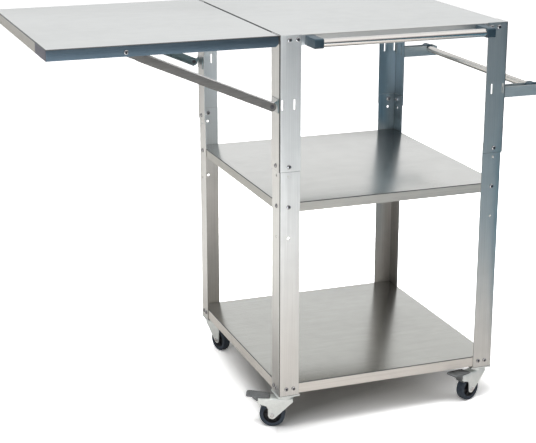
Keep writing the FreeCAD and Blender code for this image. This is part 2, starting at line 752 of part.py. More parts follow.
def strut_bracket(label, is_back):
    """Bracket hooked into the slots of a left leg, with the ear that carries the strut."""
    body = new_body(label)
    plate_start = mirrored_span(is_back, d.bracket_edge, d.bracket_width)
    add(body, "YZ", -d.bracket_sheet, d.bracket_sheet, draw_box, plate_start, d.bracket_bottom,
        d.bracket_width, d.bracket_height)
    ear_inset = d.strut_inset + d.strut_sheet + d.ear_clear
    ear_start = mirrored_span(is_back, ear_inset, d.bracket_sheet)
    centre_x = -d.pivot_reach
    centre_z = d.pivot_height
    neck = [
        (-d.bracket_sheet, centre_z + d.neck_bottom),
        (-d.bracket_sheet, centre_z + d.neck_top),
        (centre_x + d.ear_round * 0.4, centre_z + d.ear_round * 0.8),
        (centre_x, centre_z),
        (centre_x + d.ear_round * 0.9, centre_z + d.neck_bottom * 0.5),
    ]
    add(body, "XZ", ear_start, d.bracket_sheet, draw_outline, neck)
    add(body, "XZ", ear_start, d.bracket_sheet, draw_polygon, centre_x, centre_z, d.ear_round,
        ROUND_SIDES)
    cut(body, "XZ", ear_start, d.bracket_sheet, draw_polygon, centre_x, centre_z, d.pivot_bore,
        PIN_SIDES)
    for slot in (d.slot_near, d.slot_far):
        tab_start = mirrored_span(is_back, slot - d.tab_sheet * 0.5, d.tab_sheet)
        add(body, "XZ", tab_start, d.tab_sheet, draw_outline, hook_tab(as_dim(0), 1))
    place(body, as_dim(0), as_dim(0), as_dim(0))
    return body


def hook_tab(face, inward):
    """A tab through a leg slot whose lip drops behind the flange."""
    flange = face + d.leg_sheet * inward
    lip = flange + d.tab_sheet * inward
    upper = d.slot_bottom + d.tab_height
    return [
        (face, d.slot_bottom),
        (flange, d.slot_bottom),
        (flange, d.slot_bottom - d.tab_drop),
        (lip, d.slot_bottom - d.tab_drop),
        (lip, upper),
        (face, upper),
    ]


def pivot_pin_solid(is_back):
    """Riveted pin through a strut's web and its bracket's ear."""
    inner = d.strut_inset + d.strut_sheet + d.ear_clear + d.bracket_sheet
    outer = d.strut_inset.value
    grip = inner - outer
    inward = Vector(0, -1, 0) if is_back else Vector(0, 1, 0)
    outer_y = d.table_depth.value - outer if is_back else outer
    seat = Vector(-d.pivot_reach.value, outer_y, d.pivot_height.value)
    front_head = prism(seat, -inward, d.pivot_head, PIN_SIDES, d.pivot_head_height)
    shank = prism(seat, inward, d.pivot_pin, PIN_SIDES, grip)
    inner_seat = seat + inward * grip.value
    rear_head = prism(inner_seat, inward, d.pivot_head, PIN_SIDES, d.pivot_head_height)
    return front_head.fuse(shank).fuse(rear_head)


def rail_arm(label, is_back):
    """Channel arm, open at the top, hooked into the slots of a right leg."""
    body = new_body(label)
    leg_face = d.table_width
    width = d.slot_far - d.slot_near + d.tab_sheet
    outer = mirrored_span(is_back, d.slot_near - d.tab_sheet * 0.5, width)
    add(body, "XY", d.arm_bottom, d.arm_height, draw_box, leg_face, outer, d.arm_length, width)
    hollow = width - d.arm_sheet * 2
    cut(body, "XY", d.arm_bottom + d.arm_sheet, d.arm_height - d.arm_sheet, draw_box,
        leg_face, outer + d.arm_sheet, d.arm_length - d.arm_sheet, hollow)
    inner_wall = mirrored_span(is_back, d.slot_far - d.tab_sheet * 0.5, d.tab_sheet)
    rod_x = leg_face + d.rod_reach
    notch = d.rod_radius + d.rod_clear
    cut(body, "XZ", inner_wall, d.arm_sheet, draw_circle, rod_x, d.rod_height, notch)
    cut(body, "XZ", inner_wall, d.arm_sheet, draw_box, rod_x - notch, d.rod_height,
        notch * 2, d.arm_bottom + d.arm_height - d.rod_height + 1)
    for slot in (d.slot_near, d.slot_far):
        tab_start = mirrored_span(is_back, slot - d.tab_sheet * 0.5, d.tab_sheet)
        add(body, "XZ", tab_start, d.tab_sheet, draw_outline, hook_tab(leg_face, -1))
    place(body, as_dim(0), as_dim(0), as_dim(0))
    return body


def cap_span():
    """Start and length of a rod cap between the walls of its arm, from the leg corner."""
    start = d.slot_near + d.arm_sheet - d.tab_sheet * 0.5 + d.cap_clear
    end = d.slot_far - d.tab_sheet * 0.5 - d.cap_clear
    return start, end - start


def rail_cap(label, is_back):
    """Arched plastic cap that holds one end of the side rail's rod in its arm."""
    body = new_body(label)
    start, length = cap_span()
    rod_x = d.table_width + d.rod_reach
    floor = d.arm_bottom + d.arm_sheet
    outer = mirrored_span(is_back, start, length)
    add(body, "XZ", outer, length, draw_box, rod_x - d.cap_round, floor, d.cap_round * 2,
        d.rod_height - floor)
    add(body, "XZ", outer, length, draw_polygon, rod_x, d.rod_height, d.cap_round, 32)
    bore = length - d.cap_wall
    bore_start = mirrored_span(is_back, start + d.cap_wall, bore)
    cut(body, "XZ", bore_start, bore, draw_polygon, rod_x, d.rod_height, d.rod_seat, ROUND_SIDES)
    place(body, as_dim(0), as_dim(0), as_dim(0))
    return body


def rail_rod():
    """Round tube between the two arms, its ends inside the caps."""
    body = new_body("rail_rod")
    start, length = cap_span()
    end_y = start + d.cap_wall
    rod_x = d.table_width + d.rod_reach
    rod_length = d.table_depth - end_y * 2
    add(body, "XZ", end_y, rod_length, draw_circle, rod_x, d.rod_height, d.rod_radius)
    cut(body, "XZ", end_y, rod_length, draw_circle, rod_x, d.rod_height, d.rod_bore)
    place(body, as_dim(0), as_dim(0), as_dim(0))
    return body


def towel_bracket(label, is_right):
    """Plastic end bracket of the towel bar, screwed to the top's front rim."""
    body = new_body(label)
    width = d.towel_bracket
    left = d.table_width - d.towel_inset - width if is_right else d.towel_inset
    front = -(d.bar_reach + d.towel_front)
    lower = d.bar_height - width * 0.5
    upper = lower + width
    bend = d.towel_round
    soft = bend * 0.3
    profile = [
        (table_rim, lower),
        (table_rim, upper),
        (front + bend, upper),
        (front + soft, upper - soft),
        (front, upper - bend),
        (front, lower + bend),
        (front + soft, lower + soft),
        (front + bend, lower),
    ]
    add(body, "YZ", left, width, draw_outline, profile)
    bore_start = left if is_right else left + d.towel_wall
    cut(body, "YZ", bore_start, width - d.towel_wall, draw_polygon, -d.bar_reach, d.bar_height,
        d.bar_seat, ROUND_SIDES)
    screw = d.screw_length - d.pan_sheet
    cut(body, "XZ", table_rim - screw, screw, draw_polygon, left + width * 0.5, d.bar_height,
        d.screw_hole, BOLT_SIDES)
    place(body, as_dim(0), as_dim(0), as_dim(0))
    return body


def towel_bar():
    """Round tube along the front, its ends inside the brackets."""
    body = new_body("towel_bar")
    start = d.towel_inset + d.towel_wall
    length = d.table_width - start * 2
    add(body, "YZ", start, length, draw_circle, -d.bar_reach, d.bar_height, d.bar_radius)
    cut(body, "YZ", start, length, draw_circle, -d.bar_reach, d.bar_height, d.bar_bore)
    place(body, as_dim(0), as_dim(0), as_dim(0))
    return body


def towel_screw(x):
    """Screw from inside the top's rim into a towel bar bracket."""
    seat = Vector(x, (table_rim + d.pan_sheet).value, d.bar_height.value)
    inward = Vector(0, -1, 0)
    head = prism(seat, -inward, d.screw_head, HEAD_SIDES, d.head_height)
    return head.fuse(prism(seat, inward, d.screw_shank, BOLT_SIDES, d.screw_length))


# Casters
# Each is modelled about its swivel axis, at the height of the leg's foot, trailing along +X.
CASTERS = {
    "fl": (FRONT_LEFT_HEADING, True),
    "fr": (FRONT_RIGHT_HEADING, True),
    "bl": (BACK_LEFT_HEADING, False),
    "br": (BACK_RIGHT_HEADING, False),
}


def swivel_point(corner):
    """Swivel axis of a caster, from the legs' front left corner."""
    x = d.caster_inset if corner[1] == "l" else d.table_width - d.caster_inset
    y = d.caster_inset if corner[0] == "f" else d.table_depth - d.caster_inset
    return x, y


def place_on_axis(body, corner, z=0):
    """Put a swivelling piece on its caster's axis, turned to its heading."""
    x, y = swivel_point(corner)
    heading = CASTERS[corner][0]
    place(body, x, y, as_dim(z), Rotation(Vector(0, 0, 1), heading))


def caster_plate(corner):
    """Mounting plate with the swivel's pressed dish and king rivet, and its four bolts."""
    body = new_body(f"caster_plate_{corner}")
    half = d.caster_plate * 0.5
    sheet_z = -d.plate_sheet
    add(body, "XY", sheet_z, d.plate_sheet, draw_box, -half, -half, d.caster_plate, d.caster_plate)
    add(body, "XY", -d.dish_bottom, d.dish_bottom - d.plate_sheet, draw_polygon, 0, 0,
        d.dish_radius, ROUND_SIDES)
    rivet_neck = -(d.fork_top + d.fork_sheet + d.race_gap)
    add(body, "XY", rivet_neck, -rivet_neck - d.dish_bottom, draw_polygon, 0, 0, d.king_radius,
        PIVOT_SIDES)
    add(body, "XY", rivet_neck - d.king_head_height, d.king_head_height, draw_polygon, 0, 0,
        d.king_head, PIN_SIDES)
    bolts = plate_places(as_dim(0))
    add(body, "XY", sheet_z - d.head_height, d.head_height, draw_polygons, bolts,
        d.plate_bolt_head, BOLT_SIDES)
    add(body, "XY", 0, d.foot_sheet, draw_polygons, bolts, d.plate_bolt, BOLT_SIDES)
    x, y = swivel_point(corner)
    place(body, x, y, as_dim(0), Rotation(Vector(0, 0, 1), CORNERS[corner][2]))
    return body


def cheek_outline(tail):
    """Side view of a fork cheek, wide at the top and narrow at the axle."""
    top = -d.fork_top
    axle_z = d.wheel_radius - d.caster_height
    boss = d.boss_radius
    behind = d.trail + boss
    waist = [(behind, axle_z)]
    if tail.value > behind.value + boss.value:
        waist.append((behind, axle_z + boss * 1.5))
        waist.append((behind + boss * 0.4, axle_z + boss * 2.3))
        waist.append((tail - boss * 0.4, axle_z + boss * 2.8))
        waist.append((tail, axle_z + boss * 3.1))
    else:
        waist.append((tail, axle_z + boss * 2.3))
    waist.append((tail, top))
    ahead = [
        (-d.fork_front, top),
        (-d.fork_front, top - boss * 0.8),
        (d.trail - boss * 0.78, axle_z - boss * 0.62),
        (d.trail, axle_z),
    ]
    return waist + ahead


def fork(corner):
    """Pressed fork with its ball race, two cheeks and, if braked, the pedal's pins."""
    braked = CASTERS[corner][1]
    tail = d.fork_tail if braked else d.fork_short
    body = new_body(f"caster_fork_{corner}")
    half = d.fork_width * 0.5
    gap = d.fork_width - d.fork_sheet * 2
    top = -d.fork_top
    axle_z = d.wheel_radius - d.caster_height
    add(body, "XZ", -half, d.fork_width, draw_outline, cheek_outline(tail))
    add(body, "XZ", -half, d.fork_width, draw_polygon, d.trail, axle_z, d.boss_radius, PIVOT_SIDES)
    under = top - d.fork_sheet
    cut(body, "XZ", -(gap * 0.5), gap, draw_box, -d.fork_front - 1, axle_z - d.wheel_radius,
        tail + d.fork_front + 2, under - axle_z + d.wheel_radius)
    if braked:
        open_from = d.pedal_inner - d.fork_sheet
        cut(body, "XZ", -(gap * 0.5), gap, draw_box, open_from, under, tail - open_from + 1,
            d.fork_sheet)
    race_top = -(d.dish_bottom + d.race_gap)
    add(body, "XY", under, race_top - under, draw_polygon, 0, 0, d.race_radius, ROUND_SIDES)
    cut(body, "XY", under, race_top - under, draw_polygon, 0, 0, d.king_bore, PIVOT_SIDES)
    cut(body, "XZ", -half, d.fork_width, draw_polygon, d.trail, axle_z, d.axle_bore, PIVOT_SIDES)
    if braked:
        pins = [
            (d.pedal_pin_trail, -d.pedal_pin_drop),
            (d.stop_pin_trail, -d.stop_pin_drop),
        ]
        add(body, "XZ", -half - d.rivet_proud, d.fork_width + d.rivet_proud * 2, draw_polygons,
            pins, d.pedal_pin, HEAD_SIDES)
    place_on_axis(body, corner)
    return body


def place_wheel(body, corner):
    """Put a part turned about its own Z axis on a caster's axle."""
    heading, braked = CASTERS[corner]
    x, y = swivel_point(corner)
    angle = math.radians(heading)
    axle_x = x + d.trail * math.cos(angle)
    axle_y = y + d.trail * math.sin(angle)
    axle_z = d.wheel_radius - d.caster_height
    lay_down = Rotation(Vector(0, 0, 1), heading).multiply(Rotation(Vector(1, 0, 0), 90))
    place(body, axle_x, axle_y, axle_z, lay_down)


def axle(corner):
    """Axle bolt with its hexagon head and nut outside the fork cheeks."""
    body = new_body(f"caster_axle_{corner}")
    half = d.fork_width * 0.5
    add(body, "XY", -half, d.fork_width, draw_polygon, 0, 0, d.axle_radius, PIVOT_SIDES)
    for start in (-half - d.axle_head_height, half):
        add(body, "XY", start, d.axle_head_height, draw_polygon, 0, 0, d.axle_head, 6)
    place_wheel(body, corner)
    return body


def hub(corner):
    """Plastic wheel centre: a boss on the axle, a thin disc and the tyre's seat."""
    body = new_body(f"wheel_hub_{corner}")
    add(body, "XY", d.hub_web * -0.5, d.hub_web, draw_polygon, 0, 0, d.tyre_bore, WHEEL_SIDES)
    add(body, "XY", d.hub_width * -0.5, d.hub_width, draw_polygon, 0, 0, d.hub_radius,
        PIVOT_SIDES)
    cut(body, "XY", d.hub_width * -0.5, d.hub_width, draw_polygon, 0, 0, d.axle_bore, PIVOT_SIDES)
    place_wheel(body, corner)
    return body


def tyre(corner):
    """Tread ring with rounded shoulders."""
    body = new_body(f"wheel_tyre_{corner}")
    start = d.wheel_width * -0.5
    add(body, "XY", start, d.wheel_width, draw_polygon, 0, 0, d.wheel_radius, WHEEL_SIDES)

    def is_shoulder(edge):
        return near(edge.Vertexes[0].Z, edge.Vertexes[-1].Z)

    chamfer(body, d.tyre_shoulder, is_shoulder)
    cut(body, "XY", start, d.wheel_width, draw_polygon, 0, 0, d.tyre_bore, WHEEL_SIDES)
    place_wheel(body, corner)
    return body


def brake_pedal(corner):
    """Foot pedal on its pin, with a pad over the fork and a finger towards the tyre."""
    body = new_body(f"brake_pedal_{corner}")
    gap = d.fork_width - d.fork_sheet * 2
    core = gap - d.race_gap * 2
    pin_x = d.pedal_pin_trail
    pin_z = -d.pedal_pin_drop
    tip_z = -d.pedal_drop
    clear = -d.fork_top + 1.6
    pad = [
        (d.pedal_inner, clear),
        (d.pedal_inner, clear + 1.6),
        (d.fork_tail, tip_z - 2.5),
        (d.pedal_reach - 3, tip_z),
        (d.pedal_reach, tip_z - 2),
        (d.pedal_reach - 1, tip_z - 5),
        (d.fork_tail + 14, tip_z - 6.5),
        (d.fork_tail + 3, pin_z - 0.5),
        (d.fork_tail + 1.6, pin_z),
        (d.fork_tail + 1.6, clear),
    ]
    add(body, "XZ", -(d.pedal_width * 0.5), d.pedal_width, draw_outline, pad)
    finger = math.radians(252)
    spread = math.radians(14)
    tips = [
        (pin_x + d.brake_reach * math.cos(angle), pin_z + d.brake_reach * math.sin(angle))
        for angle in (finger - spread, finger + spread)
    ]
    middle = [
        (d.pedal_inner + 1, clear),
        (pin_x - 8, pin_z + 1),
        (pin_x - 6, pin_z - 4),
        tips[0],
        tips[1],
        (pin_x + 5, pin_z - 3),
        (d.fork_tail + 1.6, pin_z),
        (d.fork_tail + 1.6, clear + 1),
        (d.pedal_inner + 1, clear + 1),
    ]
    add(body, "XZ", -(core * 0.5), core, draw_outline, middle)
    cut(body, "XZ", -(core * 0.5), core, draw_polygon, pin_x, pin_z, d.pedal_bore, PIN_SIDES)
    place_on_axis(body, corner)
    return body


# The sub-parts
parts = [top_panel()]
parts.append(shelf("mid_shelf", d.mid_shelf_height, d.mid_shelf_rim, [d.bolt_line],
                   mid_bolt_height))
parts.append(shelf("bottom_shelf", d.low_shelf_height, d.low_shelf_rim,
                   [d.low_bolt_near, d.low_bolt_far], low_bolt_height))
for corner in CORNERS:
    parts.append(upper_leg(corner))
    parts.append(lower_leg(corner))

seats = frame_fasteners()
parts.append(group("frame_bolts", [button_bolt(seat, inward) for seat, inward, grip in seats]))
parts.append(group("frame_nuts", [hex_nut(seat + inward * grip, inward)
                                  for seat, inward, grip in seats]))

parts.append(leaf_panel())
parts.append(group("leaf_studs", [
    leaf_stud(0, Vector(0, 1, 0)),
    leaf_stud(d.table_depth.value, Vector(0, -1, 0)),
]))
for place_name, centre in (("front", d.hinge_inset), ("back", back_hinge_y)):
    parts.append(hinge_wing(f"hinge_table_{place_name}", centre, False))
    parts.append(hinge_wing(f"hinge_leaf_{place_name}", centre, True))
parts.append(group("hinge_pins", [
    hinge_pin_solid(d.hinge_inset),
    hinge_pin_solid(back_hinge_y),
]))
for place_name, is_back in (("front", False), ("back", True)):
    parts.append(strut(f"strut_{place_name}", is_back))
    parts.append(strut_bracket(f"strut_bracket_{place_name}", is_back))
    parts.append(rail_arm(f"rail_arm_{place_name}", is_back))
    parts.append(rail_cap(f"rail_cap_{place_name}", is_back))
parts.append(group("strut_pins", [pivot_pin_solid(False), pivot_pin_solid(True)]))
parts.append(rail_rod())

parts.append(towel_bar())
parts.append(towel_bracket("towel_bracket_left", False))
parts.append(towel_bracket("towel_bracket_right", True))
parts.append(group("towel_screws", [
    towel_screw(at.value) for at in mirrored(d.table_width, [towel_screw_x])
]))

for corner in CASTERS:
    parts.append(caster_plate(corner))
    parts.append(fork(corner))
    parts.append(axle(corner))
    parts.append(hub(corner))
    parts.append(tyre(corner))
    if CASTERS[corner][1]:
        parts.append(brake_pedal(corner))

doc.recompute()
for item in doc.Objects:
    if "Invalid" in item.State or "Error" in item.State:
        raise ValueError(f"{item.Label} did not build: {item.State}")
for part in parts:
    if part.Shape.isNull() or not part.Shape.isValid():
        raise ValueError(f"{part.Label} has no valid shape")
for part in parts:
    part.Shape.exportStep(f"parts/{part.Label}.step")
print(f"{len(parts)} sub-parts, strut tilt {math.degrees(strut_tilt):.3f} degrees")
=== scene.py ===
"""Outdoor pizza oven table on casters, dressed over its construction model.

A stainless steel frame of four bolted angle legs carries a flush top pan, two shelf pans, a towel
bar, a side rail hooked into the leg slots, and a folding side leaf on two struts. Pieces are
modelled in millimetres from the legs' front left corner and foot, and are then moved into the
table's own frame, in metres.
"""

from __future__ import annotations

import logging
import math
from contextlib import contextmanager
from dataclasses import dataclass
from enum import Enum
from typing import Callable, Iterator, Mapping, Sequence

import bmesh
import bpy
from mathutils import Matrix, Vector


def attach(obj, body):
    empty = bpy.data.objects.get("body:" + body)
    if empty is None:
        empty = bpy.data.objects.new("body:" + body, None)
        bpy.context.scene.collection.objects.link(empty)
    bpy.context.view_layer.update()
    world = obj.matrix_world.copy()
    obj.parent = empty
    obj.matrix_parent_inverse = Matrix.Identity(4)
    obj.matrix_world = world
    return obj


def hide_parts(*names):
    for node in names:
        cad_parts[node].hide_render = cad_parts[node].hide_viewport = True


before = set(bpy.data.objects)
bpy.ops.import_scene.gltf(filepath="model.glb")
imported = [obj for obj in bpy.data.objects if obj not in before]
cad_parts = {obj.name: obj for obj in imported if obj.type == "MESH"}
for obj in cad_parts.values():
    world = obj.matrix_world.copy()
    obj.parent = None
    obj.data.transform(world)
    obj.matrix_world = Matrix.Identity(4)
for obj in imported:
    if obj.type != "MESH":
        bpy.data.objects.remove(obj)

LOG = logging.getLogger("pizza_oven_table")
Colour = tuple[float, float, float]
Point = tuple[float, float, float]
Spot = tuple[float, float]
Chooser = Callable[[Vector, Vector], bool]
Socket = bpy.types.NodeSocket
Feeds = Mapping[int | str, Socket | float | Point]

TABLE_WIDTH = 550.0
TABLE_DEPTH = 580.0
LEG_HEIGHT = 834.0
FOOT_CENTRE = 27.0
FOOT_BOLTS: Sequence[Spot] = ((-18, -18), (-18, 18), (18, -18), (18, 18))
SLOT_SPOTS = (7.0, 35.0)
SLOT_BOTTOM = 671.0
SAME_LENGTH = 0.02
SMOOTH_BEND = math.radians(35)
TO_TABLE = Matrix.Translation((-0.075, -0.2651, 0.084)) @ Matrix.Scale(0.001, 4)


class Pick(Enum):
    """What an edit-mode selection takes."""

    EDGES = "EDGE"
    FACES = "FACE"


class Axis(Enum):
    """A direction that a round piece runs along or a chooser measures along."""

    X = Vector((1, 0, 0))
    Y = Vector((0, 1, 0))
    Z = Vector((0, 0, 1))


class Corner(Enum):
    """A leg of the table: its short name, and whether it stands right and at the back."""

    FRONT_LEFT = ("fl", False, False)
    FRONT_RIGHT = ("fr", True, False)
    BACK_LEFT = ("bl", False, True)
    BACK_RIGHT = ("br", True, True)

    @property
    def short(self) -> str:
        """Short name, as the construction model's nodes end."""
        return self.value[0]

    @property
    def at_back(self) -> bool:
        """Whether the leg stands at the back."""
        return self.value[2]

    @property
    def mirror(self) -> Matrix:
        """Mirror that takes a front left piece to this corner."""
        return mirror(self.value[1], self.value[2])


class End(Enum):
    """Front or back of the table, for pieces that come in mirrored pairs."""

    FRONT = ("front", False)
    BACK = ("back", True)

    @property
    def word(self) -> str:
        """The word that the construction model's nodes use."""
        return self.value[0]

    @property
    def mirror(self) -> Matrix:
        """Mirror that takes a front piece to this end."""
        return mirror(False, self.value[1])


def mirror(to_right: bool, to_back: bool) -> Matrix:
    """Mirror image across the table's middle planes, in millimetres.

    Args:
        to_right: Whether the left becomes the right.
        to_back: Whether the front becomes the back.

    Returns:
        The matrix.
    """
    shift = Matrix.Translation((TABLE_WIDTH if to_right else 0, TABLE_DEPTH if to_back else 0, 0))
    return shift @ Matrix.Diagonal((-1 if to_right else 1, -1 if to_back else 1, 1, 1))


def both_ends(length: float, *distances: float) -> list[float]:
    """The same distances from both ends of a length."""
    return [*distances, *(length - at for at in distances)]


def near(value: float, goal: float) -> bool:
    """Whether two lengths are the same to a few hundredths of a millimetre."""
    return abs(value - goal) < SAME_LENGTH


def all_parts(first: Vector, second: Vector) -> bool:
    """Chooser that takes every edge or face."""
    return True


def rim(axis: Axis, value: float) -> Chooser:
    """Chooser of the edges that lie at one value along an axis."""
    return lambda first, second: (near(first.dot(axis.value), value)
                                  and near(second.dot(axis.value), value))


def level(axis: Axis) -> Chooser:
    """Chooser of the edges that lie across an axis, as both rims of a rod along it do."""
    return lambda first, second: near(first.dot(axis.value), second.dot(axis.value))


def running(axis: Axis, over: float = 1.0) -> Chooser:
    """Chooser of the edges that run along an axis for more than a length."""
    return lambda first, second: abs((second - first).dot(axis.value)) > over


def every(*choosers: Chooser) -> Chooser:
    """Chooser of what all of the given choosers take."""
    return lambda first, second: all(chosen(first, second) for chosen in choosers)


def either(*choosers: Chooser) -> Chooser:
    """Chooser of what any of the given choosers takes."""
    return lambda first, second: any(chosen(first, second) for chosen in choosers)


class Bench:
    """One piece on the bench, modelled by hand operations in millimetres."""

    def __init__(self, piece: bpy.types.Object) -> None:
        """Take an object whose place and size are already in its mesh."""
        self.piece = piece

    @classmethod
    def _take(cls, name: str) -> Bench:
        """Name the primitive just added and move its place and size into its mesh.

        Args:
            name: Name of the piece.

        Returns:
            The primitive on its bench.
        """
        piece = bpy.context.object
        piece.name = name
        piece.data.name = name
        bpy.ops.object.transform_apply(location=True, rotation=True, scale=True)
        return cls(piece)

    @classmethod
    def block(cls, name: str, low: Point, high: Point) -> Bench:
        """Rectangular blank between two corners.

        Args:
            name: Name of the piece.
            low: Lowest corner.
            high: Highest corner.

        Returns:
            The blank on its bench.
        """
        bpy.ops.object.select_all(action="DESELECT")
        middle = (Vector(high) + Vector(low)) * 0.5
        bpy.ops.mesh.primitive_cube_add(size=1, location=middle)
        bpy.context.object.scale = Vector(high) - Vector(low)
        return cls._take(name)

    @classmethod
    def rod(cls, name: str, start: Point, axis: Axis, radius: float, length: float,
            sides: int = 32) -> Bench:
        """Round blank from a start point along an axis.

        Args:
            name: Name of the piece.
            start: Centre of its first end.
            axis: Direction that it runs along.
            radius: Its radius.
            length: Its length.
            sides: Sides of its outline.

        Returns:
            The blank on its bench.
        """
        bpy.ops.object.select_all(action="DESELECT")
        middle = Vector(start) + axis.value * (length * 0.5)
        turn = Axis.Z.value.rotation_difference(axis.value).to_euler()
        bpy.ops.mesh.primitive_cylinder_add(vertices=sides, radius=radius, depth=length,
                                            location=middle, rotation=turn)
        return cls._take(name)

    @classmethod
    def tube(cls, name: str, start: Point, axis: Axis, radius: float, bore: float,
             length: float) -> Bench:
        """Round tube, open at both ends.

        Args:
            name: Name of the piece.
            start: Centre of its first end.
            axis: Direction that it runs along.
            radius: Its outer radius.
            bore: Its inner radius.
            length: Its length.

        Returns:
            The tube on its bench.
        """
        drill = cls.rod("bore", Vector(start) - axis.value, axis, bore, length + 2, 40)
        return cls.rod(name, start, axis, radius, length, 48).cut(drill)

    @classmethod
    def plate(cls, name: str, outline: Sequence[Spot], start: float, thickness: float) -> Bench:
        """Flat plate of any outline, extruded along Y.

        Args:
            name: Name of the piece.
            outline: Its corners as (x, z).
            start: Where its front face lies.
            thickness: Its thickness.

        Returns:
            The plate on its bench.
        """
        bpy.ops.object.select_all(action="DESELECT")
        bpy.ops.mesh.primitive_circle_add(vertices=len(outline), radius=1, fill_type="NGON")
        bench = cls._take(name)
        for corner, (across, up) in zip(bench.piece.data.vertices, outline):
            corner.co = (across, start, up)
        with bench.picked(Pick.FACES, all_parts):
            bpy.ops.mesh.extrude_region_move(TRANSFORM_OT_translate={"value": (0, thickness, 0)})
        return bench.tidy()

    def _hold(self) -> None:
        """Select this piece alone, as the construction nodes start out selected too."""
        bpy.ops.object.select_all(action="DESELECT")
        self.piece.select_set(True)
        bpy.context.view_layer.objects.active = self.piece

    @contextmanager
    def picked(self, kind: Pick, chosen: Chooser) -> Iterator[None]:
        """Open the piece in edit mode with the chosen edges or faces selected.

        Args:
            kind: Edges, for which chosen takes both ends, or faces, for which it takes the
                centre and the normal.
            chosen: Says which are selected.

        Yields:
            Nothing: the piece is in edit mode until the block ends.
        """
        self._hold()
        bpy.ops.object.mode_set(mode="EDIT")
        bpy.ops.mesh.select_mode(type=kind.value)
        bpy.ops.mesh.select_all(action="DESELECT")
        mesh = bmesh.from_edit_mesh(self.piece.data)
        if kind is Pick.EDGES:
            for edge in mesh.edges:
                edge.select_set(chosen(edge.verts[0].co, edge.verts[1].co))
        else:
            for face in mesh.faces:
                face.select_set(chosen(face.calc_center_median(), face.normal))
        bmesh.update_edit_mesh(self.piece.data)
        yield
        bpy.ops.object.mode_set(mode="OBJECT")

    def tidy(self) -> Bench:
        """Merge doubles and turn every face outward.

        Returns:
            The same bench.
        """
        with self.picked(Pick.FACES, all_parts):
            bpy.ops.mesh.remove_doubles(threshold=0.001)
            bpy.ops.mesh.normals_make_consistent(inside=False)
        return self

    def round_edges(self, width: float, segments: int, chosen: Chooser) -> Bench:
        """Round the chosen edges.

        Args:
            width: How far the rounding reaches from each edge.
            segments: Steps of the rounding.
            chosen: Takes an edge's two ends and says whether it is rounded.

        Returns:
            The same bench.
        """
        with self.picked(Pick.EDGES, chosen):
            bpy.ops.mesh.bevel(offset=width, segments=segments, profile=0.5, affect="EDGES",
                               clamp_overlap=True)
        return self

    def open_faces(self, chosen: Chooser) -> Bench:
        """Delete faces, which leaves a shell.

        Args:
            chosen: Takes a face's centre and normal and says whether it is deleted.

        Returns:
            The same bench.
        """
        with self.picked(Pick.FACES, chosen):
            bpy.ops.mesh.delete(type="FACE")
        return self

    def inset(self, width: float, depth: float, chosen: Chooser) -> Bench:
        """Inset the chosen faces and push them along their normals.

        Args:
            width: Width of the border that is left.
            depth: How far the faces move outward, or inward where negative.
            chosen: Takes a face's centre and normal.

        Returns:
            The same bench.
        """
        with self.picked(Pick.FACES, chosen):
            bpy.ops.mesh.inset(thickness=width, depth=0)
            if depth:
                bpy.ops.transform.shrink_fatten(value=depth)
        return self

    def slice_off(self, point: Point, outward: Point) -> Bench:
        """Cut away all that lies on one side of a plane and leave the cut open.

        Args:
            point: A point of the plane.
            outward: Normal of the plane, towards what goes.

        Returns:
            The same bench.
        """
        with self.picked(Pick.FACES, all_parts):
            bpy.ops.mesh.bisect(plane_co=point, plane_no=outward, clear_outer=True)
        return self

    def score(self, point: Point, across: Point, chosen: Chooser) -> Bench:
        """Cut an edge line across faces, so that its two sides can differ in finish.

        Args:
            point: A point of the line.
            across: Direction across the line.
            chosen: Takes a face's centre and normal and says whether it is scored.

        Returns:
            The same bench.
        """
        with self.picked(Pick.FACES, chosen):
            bpy.ops.mesh.bisect(plane_co=point, plane_no=across)
        return self

    def apply(self, kind: str, **settings: object) -> Bench:
        """Add a modifier and apply it.

        Args:
            kind: Its type.
            **settings: Its settings.

        Returns:
            The same bench.
        """
        self._hold()
        modifier = self.piece.modifiers.new(kind.title(), kind)
        for setting, value in settings.items():
            setattr(modifier, setting, value)
        bpy.ops.object.modifier_apply(modifier=modifier.name)
        return self

    def thicken(self, sheet: float) -> Bench:
        """Give a shell its sheet thickness, inward from its outer face."""
        return self.apply("SOLIDIFY", thickness=sheet, offset=-1.0, use_even_offset=True)

    def ease(self, width: float, segments: int = 1, limit: float = 40) -> Bench:
        """Break every edge that is sharper than a limit in degrees."""
        return self.apply("BEVEL", width=width, segments=segments, limit_method="ANGLE",
                          angle_limit=math.radians(limit), harden_normals=False)

    def cut(self, *tools: Bench) -> Bench:
        """Cut the shapes of other blanks out of this piece and put the blanks away."""
        return self._combine("DIFFERENCE", tools)

    def weld(self, *others: Bench) -> Bench:
        """Fuse other blanks with this piece."""
        return self._combine("UNION", others)

    def _combine(self, operation: str, others: Sequence[Bench]) -> Bench:
        """Apply one boolean per blank, then put the blank away.

        Args:
            operation: Difference or union.
            others: The blanks.

        Returns:
            The same bench.
        """
        for other in others:
            self.apply("BOOLEAN", operation=operation, object=other.piece, solver="EXACT")
            other.put_away()
        return self

    def join(self, *others: Bench) -> Bench:
        """Keep other blanks in the same piece as shells of their own.

        Args:
            *others: The blanks.

        Returns:
            The same bench.
        """
        self._hold()
        for other in others:
            other.piece.select_set(True)
        bpy.ops.object.join()
        return self

    def move(self, matrix: Matrix) -> Bench:
        """Move or mirror the mesh, with its faces kept outward.

        Args:
            matrix: Where it goes.

        Returns:
            The same bench.
        """
        self.piece.data.transform(matrix)
        if matrix.determinant() < 0:
            self.piece.data.flip_normals()
        return self

